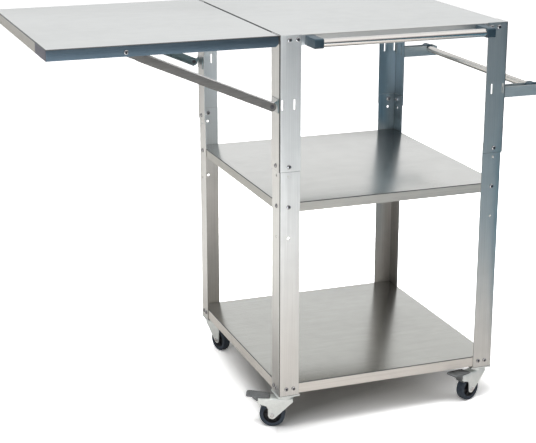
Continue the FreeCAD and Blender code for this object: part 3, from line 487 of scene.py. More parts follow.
    def copy(self, name: str, matrix: Matrix) -> Bench:
        """Copy the piece with a mesh of its own.

        Args:
            name: Name of the copy.
            matrix: Where the copy goes.

        Returns:
            The copy on its bench.
        """
        piece = self.piece.copy()
        piece.data = self.piece.data.copy()
        piece.name = name
        piece.data.name = name
        bpy.context.scene.collection.objects.link(piece)
        return Bench(piece).move(matrix)

    def repeat(self, name: str, places: Sequence[Matrix]) -> Bench:
        """Copy the piece to several places as one piece and put the pattern away.

        Args:
            name: Name of the new piece.
            places: One matrix per copy.

        Returns:
            The joined copies.
        """
        first, *others = [self.copy(name, place) for place in places]
        self.put_away()
        return first.join(*others)

    def coat(self, finish: Finish) -> Bench:
        """Give the whole piece one finish.

        Args:
            finish: The finish.

        Returns:
            The same bench.
        """
        self.piece.data.materials.clear()
        self.piece.data.materials.append(finish.material())
        return self

    def refinish(self, finish: Finish, chosen: Chooser) -> None:
        """Give the chosen faces of a coated piece a finish of their own.

        Args:
            finish: Their finish.
            chosen: Takes a face's centre and its normal, in the frame that the piece is in.
        """
        self.piece.data.materials.append(finish.material())
        last = len(self.piece.data.materials) - 1
        for face in self.piece.data.polygons:
            if chosen(face.center, face.normal):
                face.material_index = last

    def put_away(self) -> None:
        """Delete a pattern or a tool that is done with."""
        bpy.data.objects.remove(self.piece)

    def dress(self, finish: Finish, body: str, *nodes: str) -> Bench:
        """Move the piece into the table's frame and give it its finish and body.

        Args:
            finish: Its finish.
            body: Body that it moves with.
            *nodes: Construction nodes that it stands for.

        Returns:
            The same bench.
        """
        self._hold()
        bpy.ops.object.shade_smooth_by_angle(angle=SMOOTH_BEND)
        self.piece.data.transform(TO_TABLE)
        if finish.name not in self.piece.data.materials:
            self.coat(finish)
        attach(self.piece, body)
        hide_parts(*nodes)
        LOG.info("%s: %d faces, rides on %s", self.piece.name, len(self.piece.data.polygons), body)
        return self


class NodeBench:
    """Places and links shader nodes in one tree."""

    def __init__(self, tree: bpy.types.NodeTree) -> None:
        """Work in an empty node tree."""
        self.tree = tree

    @classmethod
    def cleared(cls, owner: bpy.types.Material | bpy.types.World) -> NodeBench:
        """Work in the emptied node tree of a material or a world.

        Args:
            owner: The material or world.

        Returns:
            The bench.
        """
        owner.use_nodes = True
        owner.node_tree.nodes.clear()
        return cls(owner.node_tree)

    def add(self, kind: str, feeds: Feeds | None = None, **settings: object) -> bpy.types.Node:
        """Add a node.

        Args:
            kind: Its type.
            feeds: What its inputs take, by their names or numbers: another node's output, a
                number, a vector or a colour.
            **settings: Its properties.

        Returns:
            The node.
        """
        node = self.tree.nodes.new(kind)
        for setting, value in settings.items():
            setattr(node, setting, value)
        for key, value in (feeds or {}).items():
            socket = node.inputs[key]
            if isinstance(value, Socket):
                self.tree.links.new(value, socket)
            else:
                socket.default_value = (*value, 1) if socket.type == "RGBA" else value
        return node

    def noise(self, vector: Socket, scale: float, detail: float, roughness: float = 0.5) -> Socket:
        """Noise read at a vector, from 0 to 1."""
        return self.add("ShaderNodeTexNoise", {"Vector": vector, "Scale": scale, "Detail": detail,
                                               "Roughness": roughness}).outputs["Fac"]

    def blend(self, first: Socket, second: Socket, share: float) -> Socket:
        """Mix two varying values, share being the second's part."""
        return self.add("ShaderNodeMix", {0: share, 2: first, 3: second},
                        data_type="FLOAT").outputs[0]

    def math(self, operation: str, *values: Socket | float) -> Socket:
        """Combine varying values and numbers with one sum."""
        return self.add("ShaderNodeMath", dict(enumerate(values)), operation=operation).outputs[0]

    def span(self, value: Socket, low: float, high: float, to_low: float = 0.0,
             to_high: float = 1.0) -> Socket:
        """Map a value from one range to another, clamped."""
        return self.add("ShaderNodeMapRange",
                        dict(enumerate((value, low, high, to_low, to_high)))).outputs[0]

    def tint(self, mask: Socket, first: Colour | Socket, second: Colour | Socket) -> Socket:
        """Colour between two tones, each a constant or a varying colour, by a mask."""
        return self.add("ShaderNodeMix", {0: mask, 6: first, 7: second},
                        data_type="RGBA").outputs[2]

    def placed(self, scale: Point, shift: Point = (0, 0, 0)) -> Socket:
        """Object coordinates, scaled along each axis and shifted."""
        place = self.add("ShaderNodeTexCoord").outputs["Object"]
        return self.add("ShaderNodeMapping", {"Vector": place, "Location": shift,
                                              "Scale": scale}).outputs["Vector"]


@dataclass(frozen=True)
class Effect:
    """A surface effect that several finishes share, as a node group that is built once."""

    name: str
    outputs: Sequence[str]
    wire: Callable[[NodeBench, Socket], Sequence[Socket]]

    def _group(self) -> bpy.types.NodeTree:
        """Node group with a Vector input and this effect's outputs.

        Returns:
            The group, built when it is first asked for.
        """
        ready = bpy.data.node_groups.get(self.name)
        if ready:
            return ready
        tree = bpy.data.node_groups.new(self.name, "ShaderNodeTree")
        tree.interface.new_socket("Vector", in_out="INPUT", socket_type="NodeSocketVector")
        for output in self.outputs:
            tree.interface.new_socket(output, in_out="OUTPUT", socket_type="NodeSocketFloat")
        bench = NodeBench(tree)
        vector = bench.add("NodeGroupInput").outputs["Vector"]
        bench.add("NodeGroupOutput", dict(zip(self.outputs, self.wire(bench, vector))))
        return tree

    def place(self, bench: NodeBench, vector: Socket) -> list[Socket]:
        """Place the effect in a material, read at a vector, and give its outputs in order."""
        group = self._group()
        return list(bench.add("ShaderNodeGroup", {"Vector": vector}, node_tree=group).outputs)


def streaks(bench: NodeBench, vector: Socket) -> Sequence[Socket]:
    """Tone and height of a brushed sheet's streaks, read at an already stretched vector."""
    fine = bench.noise(vector, 1.0, 3.0, 0.6)
    return bench.blend(fine, bench.noise(vector, 0.31, 2.0), 0.35), fine


def clouds_and_dabs(bench: NodeBench, vector: Socket) -> Sequence[Socket]:
    """Mask of the cloudy marks of handling and cleaning."""
    marks = bench.blend(bench.noise(vector, 5.0, 4.0, 0.55), bench.noise(vector, 31.0, 2.0), 0.35)
    return (bench.span(marks, 0.42, 0.66),)


def grit_and_speckle(bench: NodeBench, vector: Socket) -> Sequence[Socket]:
    """Tone and height of the small even mottle of cast, plated and moulded surfaces."""
    grit = bench.noise(vector, 900.0, 2.0)
    return bench.blend(grit, bench.noise(vector, 140.0, 3.0), 0.5), grit


BRUSHED_GRAIN = Effect("brushed_grain", ("Tone", "Height"), streaks)
HAND_SMUDGES = Effect("hand_smudges", ("Mask",), clouds_and_dabs)
FINE_MOTTLE = Effect("fine_mottle", ("Tone", "Height"), grit_and_speckle)


@dataclass(frozen=True)
class Finish:
    """A finish: its tones, its roughness, its slot in the record and its surface effect."""

    name: str
    bright: Colour
    dark: Colour
    smooth: float
    rough: float
    slot: str = "stainless"
    metal: float = 1.0
    coat: float = 0.0
    bump: float = 0.05
    bump_depth: float = 0.0002
    smudge: float = 0.25
    smudge_shift: Point = (0.37, 0.11, 0.53)
    smudge_shade: float = 0.82
    smear: float = 0.25
    effect: Effect = FINE_MOTTLE
    grain: Point = (1.0, 1.0, 1.0)

    def material(self) -> bpy.types.Material:
        """The finish's material, with varying colour, roughness and bump.

        Returns:
            The material, made when it is first asked for.
        """
        ready = bpy.data.materials.get(self.name)
        if ready:
            return ready
        material = bpy.data.materials.new(self.name)
        bench = NodeBench.cleared(material)
        tone, height = self.effect.place(bench, bench.placed(self.grain))
        marks, = HAND_SMUDGES.place(bench, bench.placed((1, 1, 1), self.smudge_shift))
        mask = bench.span(marks, 0.0, 1.0, 0.0, self.smudge)
        base = bench.tint(bench.span(tone, 0.3, 0.7), self.dark, self.bright)
        shade = tuple(value * self.smudge_shade for value in self.dark)
        even = bench.span(tone, 0.3, 0.7, self.rough, self.smooth)
        smeared = bench.span(mask, 0.0, 1.0, self.rough, self.rough + self.smear)
        bump = bench.add("ShaderNodeBump", {"Strength": self.bump, "Distance": self.bump_depth,
                                            "Height": height})
        shader = bench.add("ShaderNodeBsdfPrincipled", {
            "Base Color": bench.tint(mask, base, shade), "Metallic": self.metal,
            "Roughness": bench.blend(even, smeared, 0.35), "Coat Weight": self.coat,
            "Normal": bump.outputs["Normal"]})
        bench.add("ShaderNodeOutputMaterial", {"Surface": shader.outputs["BSDF"]})
        return material


UPRIGHT: Point = (700.0, 700.0, 7.0)
ACROSS: Point = (7.0, 700.0, 700.0)
SHORT: Point = (40.0, 700.0, 700.0)
STRUT_GRAIN: Point = (30.0, 700.0, 300.0)


@dataclass(frozen=True)
class BrushedFinish(Finish):
    """Brushed sheet or tube, its grain running along the axis with the smallest value."""

    bump: float = 0.06
    effect: Effect = BRUSHED_GRAIN
    grain: Point = ACROSS


LEG_STEEL = BrushedFinish("leg_sheet_upright_grain", (0.80, 0.80, 0.785), (0.68, 0.68, 0.67),
                          0.26, 0.38, grain=UPRIGHT)
# Painted reflections: tones that stand in for what the back legs' inner faces mirror.
LEG_PAINTED_PALE_REFLECTION = BrushedFinish("leg_inner_face_pale", (0.93, 0.98, 1.0), (0.84, 0.90, 0.93), 0.30, 0.42,
                         metal=0.35, grain=UPRIGHT)
LEG_PAINTED_MUTED_REFLECTION = BrushedFinish("leg_inner_face_muted", (0.62, 0.60, 0.57), (0.50, 0.485, 0.46), 0.28,
                          0.40, grain=UPRIGHT)
LEG_PAINTED_BLUE_REFLECTION = BrushedFinish("leg_inner_face_blue_grey", (0.43, 0.51, 0.56), (0.34, 0.41, 0.45),
                          0.24, 0.36, grain=UPRIGHT)
LEG_PAINTED_DARK_REFLECTION = BrushedFinish("leg_inner_face_dark", (0.33, 0.32, 0.31), (0.25, 0.245, 0.24), 0.28,
                         0.40, grain=UPRIGHT)
# Painted shade in the legs' corner bends and on the chamfer at each angle's foot, where the splice
# shades.
LEG_FOLD_PAINTED_SHADE = BrushedFinish("leg_corner_fold", (0.14, 0.14, 0.135), (0.08, 0.08, 0.08), 0.40, 0.55,
                         metal=0.7, grain=UPRIGHT)
TOP_STEEL = BrushedFinish("top_sheet_cross_grain", (0.87, 0.885, 0.88), (0.80, 0.815, 0.81), 0.26,
                          0.36, bump=0.05)
SHELF_STEEL = BrushedFinish("middle_shelf_cross_grain", (0.79, 0.79, 0.77), (0.73, 0.73, 0.71),
                            0.16, 0.25, bump=0.04)
# Painted shade: the middle shelf's rim is darker than its own top, though it is the same sheet.
MIDDLE_RIM_PAINTED_SHADE = BrushedFinish("middle_shelf_rim", (0.60, 0.59, 0.555), (0.50, 0.49, 0.46), 0.42, 0.55,
                          metal=0.55)
# Painted shade: the bottom shelf is darker than the shelf and top above it, though it is the same
# steel.
LOW_SHELF_PAINTED_SHADE = BrushedFinish("bottom_shelf_cross_grain", (0.61, 0.61, 0.58),
                                (0.54, 0.54, 0.51), 0.16, 0.25, bump=0.04)
# Painted light: the bottom shelf's rim is lighter than its own top, though it is the same sheet.
BOTTOM_RIM_PAINTED_LIGHT = BrushedFinish("bottom_shelf_rim", (0.86, 0.825, 0.78), (0.75, 0.715, 0.67), 0.40,
                              0.52, metal=0.6)
# Painted shade along the bends of the shelves and the leaf.
FOLD_LINE_PAINTED_SHADE = BrushedFinish("sharp_fold_line", (0.16, 0.17, 0.175), (0.09, 0.095, 0.10), 0.40, 0.55,
                          metal=0.7, bump=0.05)
LEAF_RIM = BrushedFinish("leaf_rim_dark_reflection", (0.185, 0.245, 0.29), (0.125, 0.175, 0.22),
                         0.26, 0.38)
# Painted dark reflection on the leaf's end rim near its front corner.
LEAF_CORNER_PAINTED_REFLECTION = BrushedFinish("leaf_end_rim_at_the_corner", (0.17, 0.17, 0.20), (0.12, 0.12, 0.15),
                            0.36, 0.50, metal=0.7)
# Painted shade: the leaf's end rim is darker than its top, though it is the same sheet.
LEAF_END_PAINTED_SHADE = BrushedFinish("leaf_end_rim", (0.54, 0.525, 0.49), (0.455, 0.44, 0.41), 0.36, 0.50,
                         metal=0.7)
# Painted shade on the rims that face each other in the seam between the leaf and the top.
HINGE_SEAM_PAINTED_SHADE = BrushedFinish("hinge_edge_in_the_seam", (0.07, 0.075, 0.08), (0.04, 0.045, 0.05),
                           0.45, 0.6, metal=0.5, bump=0.05)
FITTING_STEEL = BrushedFinish("pressed_fitting_sheet", (0.66, 0.67, 0.67), (0.52, 0.53, 0.54),
                              0.26, 0.38, grain=SHORT)
RAIL_STEEL = BrushedFinish("side_rail_channel", (0.475, 0.545, 0.575), (0.40, 0.46, 0.485), 0.32,
                           0.45, metal=0.55, grain=SHORT)
STRUT_STEEL = BrushedFinish("strut_channel_sheet", (0.225, 0.22, 0.21), (0.155, 0.15, 0.145),
                            0.42, 0.58, metal=0.45, bump=0.08, grain=STRUT_GRAIN)
# Painted shade: the back strut and the brackets' front and back faces take a blue-grey shade,
# unlike the front strut's tone.
BACK_STRUT_PAINTED_SHADE = BrushedFinish("back_strut_sheet", (0.25, 0.33, 0.35), (0.19, 0.26, 0.28), 0.40,
                                 0.55, metal=0.45, bump=0.08, grain=STRUT_GRAIN)
# Painted highlight along the top edges of the struts and the rail arms.
TOP_EDGE_PAINTED_HIGHLIGHT = BrushedFinish("bare_sheet_edge", (0.97, 0.97, 0.96), (0.40, 0.40, 0.40), 0.30, 0.45,
                          metal=0.1, bump=0.08, grain=(130, 130, 130))
BAR_STEEL = BrushedFinish("towel_bar_tube", (0.90, 0.88, 0.86), (0.76, 0.74, 0.72), 0.10, 0.18,
                          "tube_steel", bump=0.03, grain=(6.0, 900.0, 900.0))
ROD_STEEL = BrushedFinish("side_rail_tube", (0.80, 0.78, 0.75), (0.64, 0.62, 0.59), 0.14, 0.24,
                          "tube_steel", bump=0.03, grain=(900.0, 6.0, 900.0))
FASTENER = Finish("bright_fasteners", (0.86, 0.86, 0.87), (0.62, 0.62, 0.64), 0.12, 0.24,
                  "bright_steel")
# Painted shade on the fastener heads' sides, in their sockets and over the strut pins.
FASTENER_PAINTED_SHADE = Finish("fastener_side_and_socket", (0.13, 0.13, 0.14), (0.06, 0.06, 0.065), 0.30,
                        0.45, "bright_steel", metal=0.6)
ZINC = Finish("zinc_plated_pressing", (0.95, 0.98, 0.965), (0.80, 0.84, 0.83), 0.26, 0.40,
              "zinc_steel", metal=0.7)
PEDAL_FINISH = Finish("dark_zinc_pedal", (0.22, 0.23, 0.235), (0.15, 0.16, 0.165), 0.40, 0.55,
                      "pedal_steel", metal=0.3)
PLASTIC = Finish("moulded_black_plastic", (0.026, 0.056, 0.078), (0.015, 0.034, 0.050), 0.30,
                 0.46, "black_plastic", metal=0.0, coat=0.1, bump=0.12)
WHEEL_PLASTIC = Finish("black_wheel_centre", (0.022, 0.024, 0.028), (0.010, 0.011, 0.013), 0.35,
                       0.55, "wheel_plastic", metal=0.0, bump=0.12)
RUBBER = Finish("dark_tread_rubber", (0.050, 0.068, 0.092), (0.026, 0.036, 0.050), 0.48, 0.70,
                "tyre_rubber", metal=0.0, bump=0.2)


@dataclass
class SheetPan:
    """Folded sheet pan: a flat top with a turned-down rim on all four sides."""

    name: str
    left: float
    front: float
    right: float
    back: float
    top: float
    rim: float
    holes_across: Sequence[float] = ()
    holes_along: Sequence[float] = ()
    hole_height: float = 0.0
    notch: float = 0.0
    sheet: float = 1.2
    bend: float = 1.9
    hole_radius: float = 3.2
    overrun: float = 5.0

    @classmethod
    def between_legs(cls, name: str, edge: float, top: float, height: float,
                     spots: Sequence[float], drop: float, on_sides: bool = True) -> SheetPan:
        """Pan that fills the frame, its bolt holes in line with the legs'.

        Args:
            name: Name of the piece.
            edge: Gap from the legs' outer faces to its rim.
            top: Height of its top face.
            height: Height of its rim.
            spots: Where the holes are from both ends of each side.
            drop: How far the holes are below its top face.
            on_sides: Whether the left and right rims have holes too.

        Returns:
            The pan, not built.
        """
        return cls(name, edge, edge, TABLE_WIDTH - edge, TABLE_DEPTH - edge, top, height,
                   both_ends(TABLE_WIDTH, *spots),
                   both_ends(TABLE_DEPTH, *spots) if on_sides else (), top - drop)

    def build(self) -> Bench:
        """Fold the pan from a blank and drill its rims.

        Returns:
            The pan, not dressed.
        """
        low = self.top - self.rim
        pan = Bench.block(self.name, (self.left, self.front, low),
                          (self.right, self.back, self.top))
        pan.open_faces(lambda centre, normal: normal.z < -0.5)
        upright = every(level(Axis.X), level(Axis.Y))
        pan.round_edges(self.bend, 4, either(rim(Axis.Z, self.top), upright))
        if self.notch:
            half = self.notch * 0.5
            pan.slice_off((self.right - half, 0, low + half), (1, 0, -1))
        return pan.thicken(self.sheet).cut(*self._drills())

    def _drills(self) -> list[Bench]:
        """Drills through opposite rims, one per bolt line.

        Returns:
            The drills, front to back and then left to right.
        """
        depth = self.back - self.front + self.overrun * 2
        width = self.right - self.left + self.overrun * 2
        across = [Bench.rod("drill", (at, self.front - self.overrun, self.hole_height), Axis.Y,
                            self.hole_radius, depth, 20) for at in self.holes_across]
        along = [Bench.rod("drill", (self.left - self.overrun, at, self.hole_height), Axis.X,
                           self.hole_radius, width, 20) for at in self.holes_along]
        return across + along


@dataclass(frozen=True)
class Shelf:
    """A shelf pan: its names, its sizes and bolt holes, the finish of its sheet and the painted
    tone of its rim, shade on the middle shelf and light on the bottom one.
    """

    name: str
    node: str
    height: float
    rim: float
    spots: Sequence[float]
    drop: float
    steel: Finish
    rim_steel: Finish


@dataclass
class TopAndShelves:
    """The flush table top and the two shelf pans bolted between the legs."""

    rim: float = 24.0
    edge: float = 2.0
    spots: Sequence[float] = (23, 42)
    drop: float = 11.0
    seam_edge: float = 5.0
    shelf_edge: float = 4.0
    shelves: Sequence[Shelf] = (
        Shelf("middle_shelf", "mid_shelf", 461.0, 22.0, (23,), 9.0, SHELF_STEEL, MIDDLE_RIM_PAINTED_SHADE),
        Shelf("bottom_shelf_pan", "bottom_shelf", 29.0, 25.0, (19.5, 37), 12.0, LOW_SHELF_PAINTED_SHADE,
              BOTTOM_RIM_PAINTED_LIGHT),
    )

    def dress(self) -> None:
        """Build and dress the three pans."""
        top = SheetPan.between_legs("table_top", self.edge, LEG_HEIGHT, self.rim, self.spots,
                                    self.drop, on_sides=False).build()
        top.dress(TOP_STEEL, "frame", "top_panel")
        seam = (TO_TABLE @ Vector((self.seam_edge, 0, 0))).x
        # Painted shade on the top's rim in the hinge seam.
        top.refinish(HINGE_SEAM_PAINTED_SHADE, lambda centre, normal: normal.x < -0.1 and centre.x < seam)
        for shelf in self.shelves:
            pan = SheetPan.between_legs(shelf.name, self.shelf_edge, shelf.height, shelf.rim,
                                        shelf.spots, shelf.drop).build()
            pan.dress(shelf.steel, "frame", shelf.node)
            # Painted shade on the middle shelf's rim, painted light on the bottom shelf's rim.
            pan.refinish(shelf.rim_steel, lambda centre, normal: abs(normal.z) < 0.8)
            # Painted shade along the shelf's bends.
            pan.refinish(FOLD_LINE_PAINTED_SHADE, lambda centre, normal: 0.15 < abs(normal.z) < 0.97)


@dataclass
class AngleLegs:
    """Four legs, each an outer upper angle over an inner lower angle with a foot plate."""

    flange: float = 50.0
    sheet: float = 2.0
    bend: float = 2.5
    seam: float = 532.0
    lower_top: float = 557.0
    hole: float = 3.2
    spots: Sequence[Spot] = ((23, 544), (23, 452), (19.5, 17), (37, 17), (23, 522), (23, 380))
    top_spots: Sequence[Spot] = ((23, 823), (42, 823))
    slot_width: float = 4.0
    slot_length: float = 23.0
    foot_sheet: float = 2.5
    foot_hole: float = 2.6
    shelf_line: float = 461.0

    def _angle(self, name: str, outer: float, low: float, high: float) -> Bench:
        """Bent angle section with eased edges.

        Args:
            name: Name of the piece.
            outer: Where its outer faces lie.
            low: Its lower end.
            high: Its upper end.

        Returns:
            The angle, without holes.
        """
        tip = self.flange
        skin = outer + self.sheet * 0.6
        angle = Bench.block(name, (outer, outer, low), (tip, tip, high))
        angle.open_faces(lambda centre, normal: abs(normal.z) > 0.5
                         or max(normal.x, normal.y) > 0.5)
        angle.round_edges(self.bend, 5, every(rim(Axis.X, outer), rim(Axis.Y, outer)))
        angle.thicken(self.sheet)
        # This chamfer at the foot carries a painted shade line.
        angle.round_edges(1.0, 1, every(rim(Axis.Z, low), lambda first, second: max(
            min(first.x, first.y), min(second.x, second.y)) < skin))
        return angle.ease(0.2, limit=60)

    def _drill(self, angle: Bench, spots: Sequence[Spot], on_side: bool) -> None:
        """Drill the front flange and, if asked, the side flange in the same way.

        Args:
            angle: The angle.
            spots: Distance from the corner and height of each hole.
            on_side: Whether the side flange is drilled too.
        """
        for at, height in spots:
            angle.cut(Bench.rod("drill", (at, -3, height), Axis.Y, self.hole, 9, 24))
            if on_side:
                angle.cut(Bench.rod("drill", (-3, at, height), Axis.X, self.hole, 9, 24))

    def _punch(self, at: float, through: Axis) -> Bench:
        """Punch for one accessory slot with rounded ends.

        Args:
            at: Distance of the slot from the corner.
            through: Y for a slot in the front flange, X for one in the side flange.

        Returns:
            The punch.
        """
        half = self.slot_width * 0.5
        low, high = (at - half, -3), (at + half, 6)
        if through is Axis.X:
            low, high = low[::-1], high[::-1]
        punch = Bench.block("punch", (*low, SLOT_BOTTOM), (*high, SLOT_BOTTOM + self.slot_length))
        return punch.round_edges(half * 0.6, 4, running(through))

    def _foot(self) -> Bench:
        """Foot plate inside the lower angle, drilled for a caster.

        Returns:
            The plate.
        """
        weld = self.sheet + 1
        side = FOOT_CENTRE * 2
        foot = Bench.block("foot", (weld, weld, 0), (side, side, self.foot_sheet))
        foot.round_edges(3, 4, every(running(Axis.Z), lambda first, second: max(
            first.x, first.y) > side - 1))
        for across, along in FOOT_BOLTS:
            foot.cut(Bench.rod("drill", (FOOT_CENTRE + across, FOOT_CENTRE + along, -3), Axis.Z,
                               self.foot_hole, 9, 20))
        return foot

    @staticmethod
    def _is_inner(centre: Vector, normal: Vector) -> bool:
        """Whether a face of a back leg looks to the front or to the left."""
        return min(normal.x, normal.y) < -0.9

    def _tone(self, angle: Bench, corner: Corner) -> None:
        """Paint into a back leg's inner faces the reflections that they mirror, as pale, muted,
        blue-grey and dark tones.

        Args:
            angle: An upper or lower angle, dressed.
            corner: Its corner.
        """
        line = (TO_TABLE @ Vector((0, 0, self.shelf_line))).z
        # Painted reflections: each tone stands in for what the face mirrors.
        if corner.at_back:
            angle.refinish(LEG_PAINTED_MUTED_REFLECTION, lambda centre, normal: normal.y < -0.9)
        if corner is Corner.BACK_LEFT:
            angle.refinish(LEG_PAINTED_PALE_REFLECTION, lambda centre, normal: normal.y < -0.9 and centre.z > line)
        if corner is Corner.BACK_RIGHT:
            angle.refinish(LEG_PAINTED_DARK_REFLECTION, lambda centre, normal: normal.x < -0.9)
            angle.refinish(LEG_PAINTED_BLUE_REFLECTION, lambda centre, normal: centre.z > line
                           and self._is_inner(centre, normal))

    def dress(self) -> None:
        """Build one leg, mirror it to the four corners and dress all."""
        upper = self._angle("upper_leg", 0, self.seam, LEG_HEIGHT)
        self._drill(upper, self.spots[:1], True)
        self._drill(upper, self.top_spots, False)
        for at in SLOT_SPOTS:
            upper.cut(self._punch(at, Axis.Y), self._punch(at, Axis.X))
        lower = self._angle("lower_leg", self.sheet, 0, self.lower_top)
        self._drill(lower, self.spots, True)
        lower.join(self._foot())
        for corner in Corner:
            for pattern, name, bent in ((upper, "upper_leg", 0.15), (lower, "lower_leg", 0.38)):
                angle = pattern.copy(f"{name}_angle_{corner.short}", corner.mirror)
                if pattern is lower and corner.at_back:
                    angle.score((0, 0, self.shelf_line), (0, 0, 1), self._is_inner)
                angle.dress(LEG_STEEL, "frame", f"{name}_{corner.short}")
                # Painted shade on the corner bend and on the foot's chamfer.
                angle.refinish(LEG_FOLD_PAINTED_SHADE, lambda centre, normal: -0.9 < normal.z < -0.5
                               or min(abs(normal.x), abs(normal.y)) > bent)
                self._tone(angle, corner)
        upper.put_away()
        lower.put_away()


@dataclass
class ButtonBolt:
    """Button head bolt with a hexagon socket, its head outward at -Z and its shank along +Z."""

    head: float = 5.0
    height: float = 2.2
    shank: float = 2.95
    length: float = 11.0
    socket: float = 2.3
    socket_depth: float = 1.5
    root: float = 0.2

    def build(self, name: str) -> Bench:
        """Turn the head, sink its socket and add the shank.

        Args:
            name: Name of the pattern piece.

        Returns:
            The bolt about the origin.
        """
        top = -self.height
        bolt = Bench.rod(name, (0, 0, top), Axis.Z, self.head, self.height, 20)
        bolt.round_edges(1.5, 3, rim(Axis.Z, top))
        bolt.cut(Bench.rod("key", (0, 0, top - 1), Axis.Z, self.socket, self.socket_depth + 1, 6))
        shank = Bench.rod("shank", (0, 0, -self.root), Axis.Z, self.shank,
                          self.length + self.root, 16)
        shank.round_edges(0.5, 1, rim(Axis.Z, self.length))
        # Painted shade on the head's sides and in its socket.
        bolt.join(shank).coat(FASTENER).refinish(
            FASTENER_PAINTED_SHADE, lambda centre, normal: abs(normal.z) < 0.45
            or centre.to_2d().length < self.socket)
        return bolt


@dataclass
class HexNut:
    """Chamfered hexagon nut on +Z from its seat."""

    width: float = 10.0
    height: float = 4.5
    bore: float = 3.0

    def build(self, name: str) -> Bench:
        """Cut the nut from hexagon bar.

        Args:
            name: Name of the pattern piece.

        Returns:
            The nut about the origin.
        """
        nut = Bench.rod(name, (0, 0, 0), Axis.Z, self.width / math.sqrt(3), self.height, 6)
        nut.round_edges(0.45, 2, rim(Axis.Z, self.height))
        return nut.cut(Bench.rod("tap", (0, 0, -1), Axis.Z, self.bore, self.height + 2, 16))


@dataclass(frozen=True)
class Seat:
    """Seat of a fastener: its centre, the shank's direction, the grip and the turn in degrees."""

    centre: Point
    inward: Vector
    grip: float = 0.0
    turn: float = 0.0

    def matrix(self, beyond: float = 0.0, turns: float = 1.0) -> Matrix:
        """Matrix that sets a fastener, modelled along +Z, on the seat.

        Args:
            beyond: How far along the shank it sits.
            turns: How many times the seat's turn it is turned about its own axis.

        Returns:
            The matrix.
        """
        aim = Axis.Z.value.rotation_difference(self.inward).to_matrix().to_4x4()
        place = Matrix.Translation(Vector(self.centre) + self.inward * beyond)
        return place @ aim @ Matrix.Rotation(math.radians(self.turn * turns), 4, "Z")


@dataclass(frozen=True)
class BoltRow:
    """Bolts at one height: spots from the corners, depth of the seat, grip, and which sides."""

    height: float
    spots: Sequence[float]
    seat: float
    grip: float
    on_sides: bool = True

    def seats(self) -> list[Seat]:
        """Every seat of the row, each bolt turned to an angle of its own.

        Returns:
            The seats, front and back before left and right for each spot.
        """
        across, along = Axis.X.value, Axis.Y.value
        seats = []
        for spot in self.spots:
            for x in both_ends(TABLE_WIDTH, spot):
                back = TABLE_DEPTH - self.seat
                seats += [Seat((x, self.seat, self.height), along, self.grip, x * 7.3),
                          Seat((x, back, self.height), -along, self.grip, x)]
            for y in both_ends(TABLE_DEPTH, spot) if self.on_sides else ():
                right = TABLE_WIDTH - self.seat
                seats += [Seat((self.seat, y, self.height), across, self.grip, y * 3.1),
                          Seat((right, y, self.height), -across, self.grip, y)]
        return seats


@dataclass
class FrameFasteners:
    """The frame's button head bolts and their nuts."""

    rows: Sequence[BoltRow] = (
        BoltRow(544, (23,), 0, 4.0),
        BoltRow(452, (23,), 2, 3.2),
        BoltRow(17, (19.5, 37), 2, 3.2),
        BoltRow(823, (23, 42), 0, 3.2, on_sides=False),
    )

    def dress(self) -> None:
        """Set a bolt and a nut on every seat and dress them."""
        seats = [seat for row in self.rows for seat in row.seats()]
        bolts = ButtonBolt().build("bolt").repeat("leg_bolts", [seat.matrix() for seat in seats])
        bolts.dress(FASTENER, "frame", "frame_bolts")
        nuts = HexNut().build("nut").repeat("leg_nuts", [
            seat.matrix(beyond=seat.grip, turns=2) for seat in seats])
        nuts.dress(FASTENER, "frame", "frame_nuts")


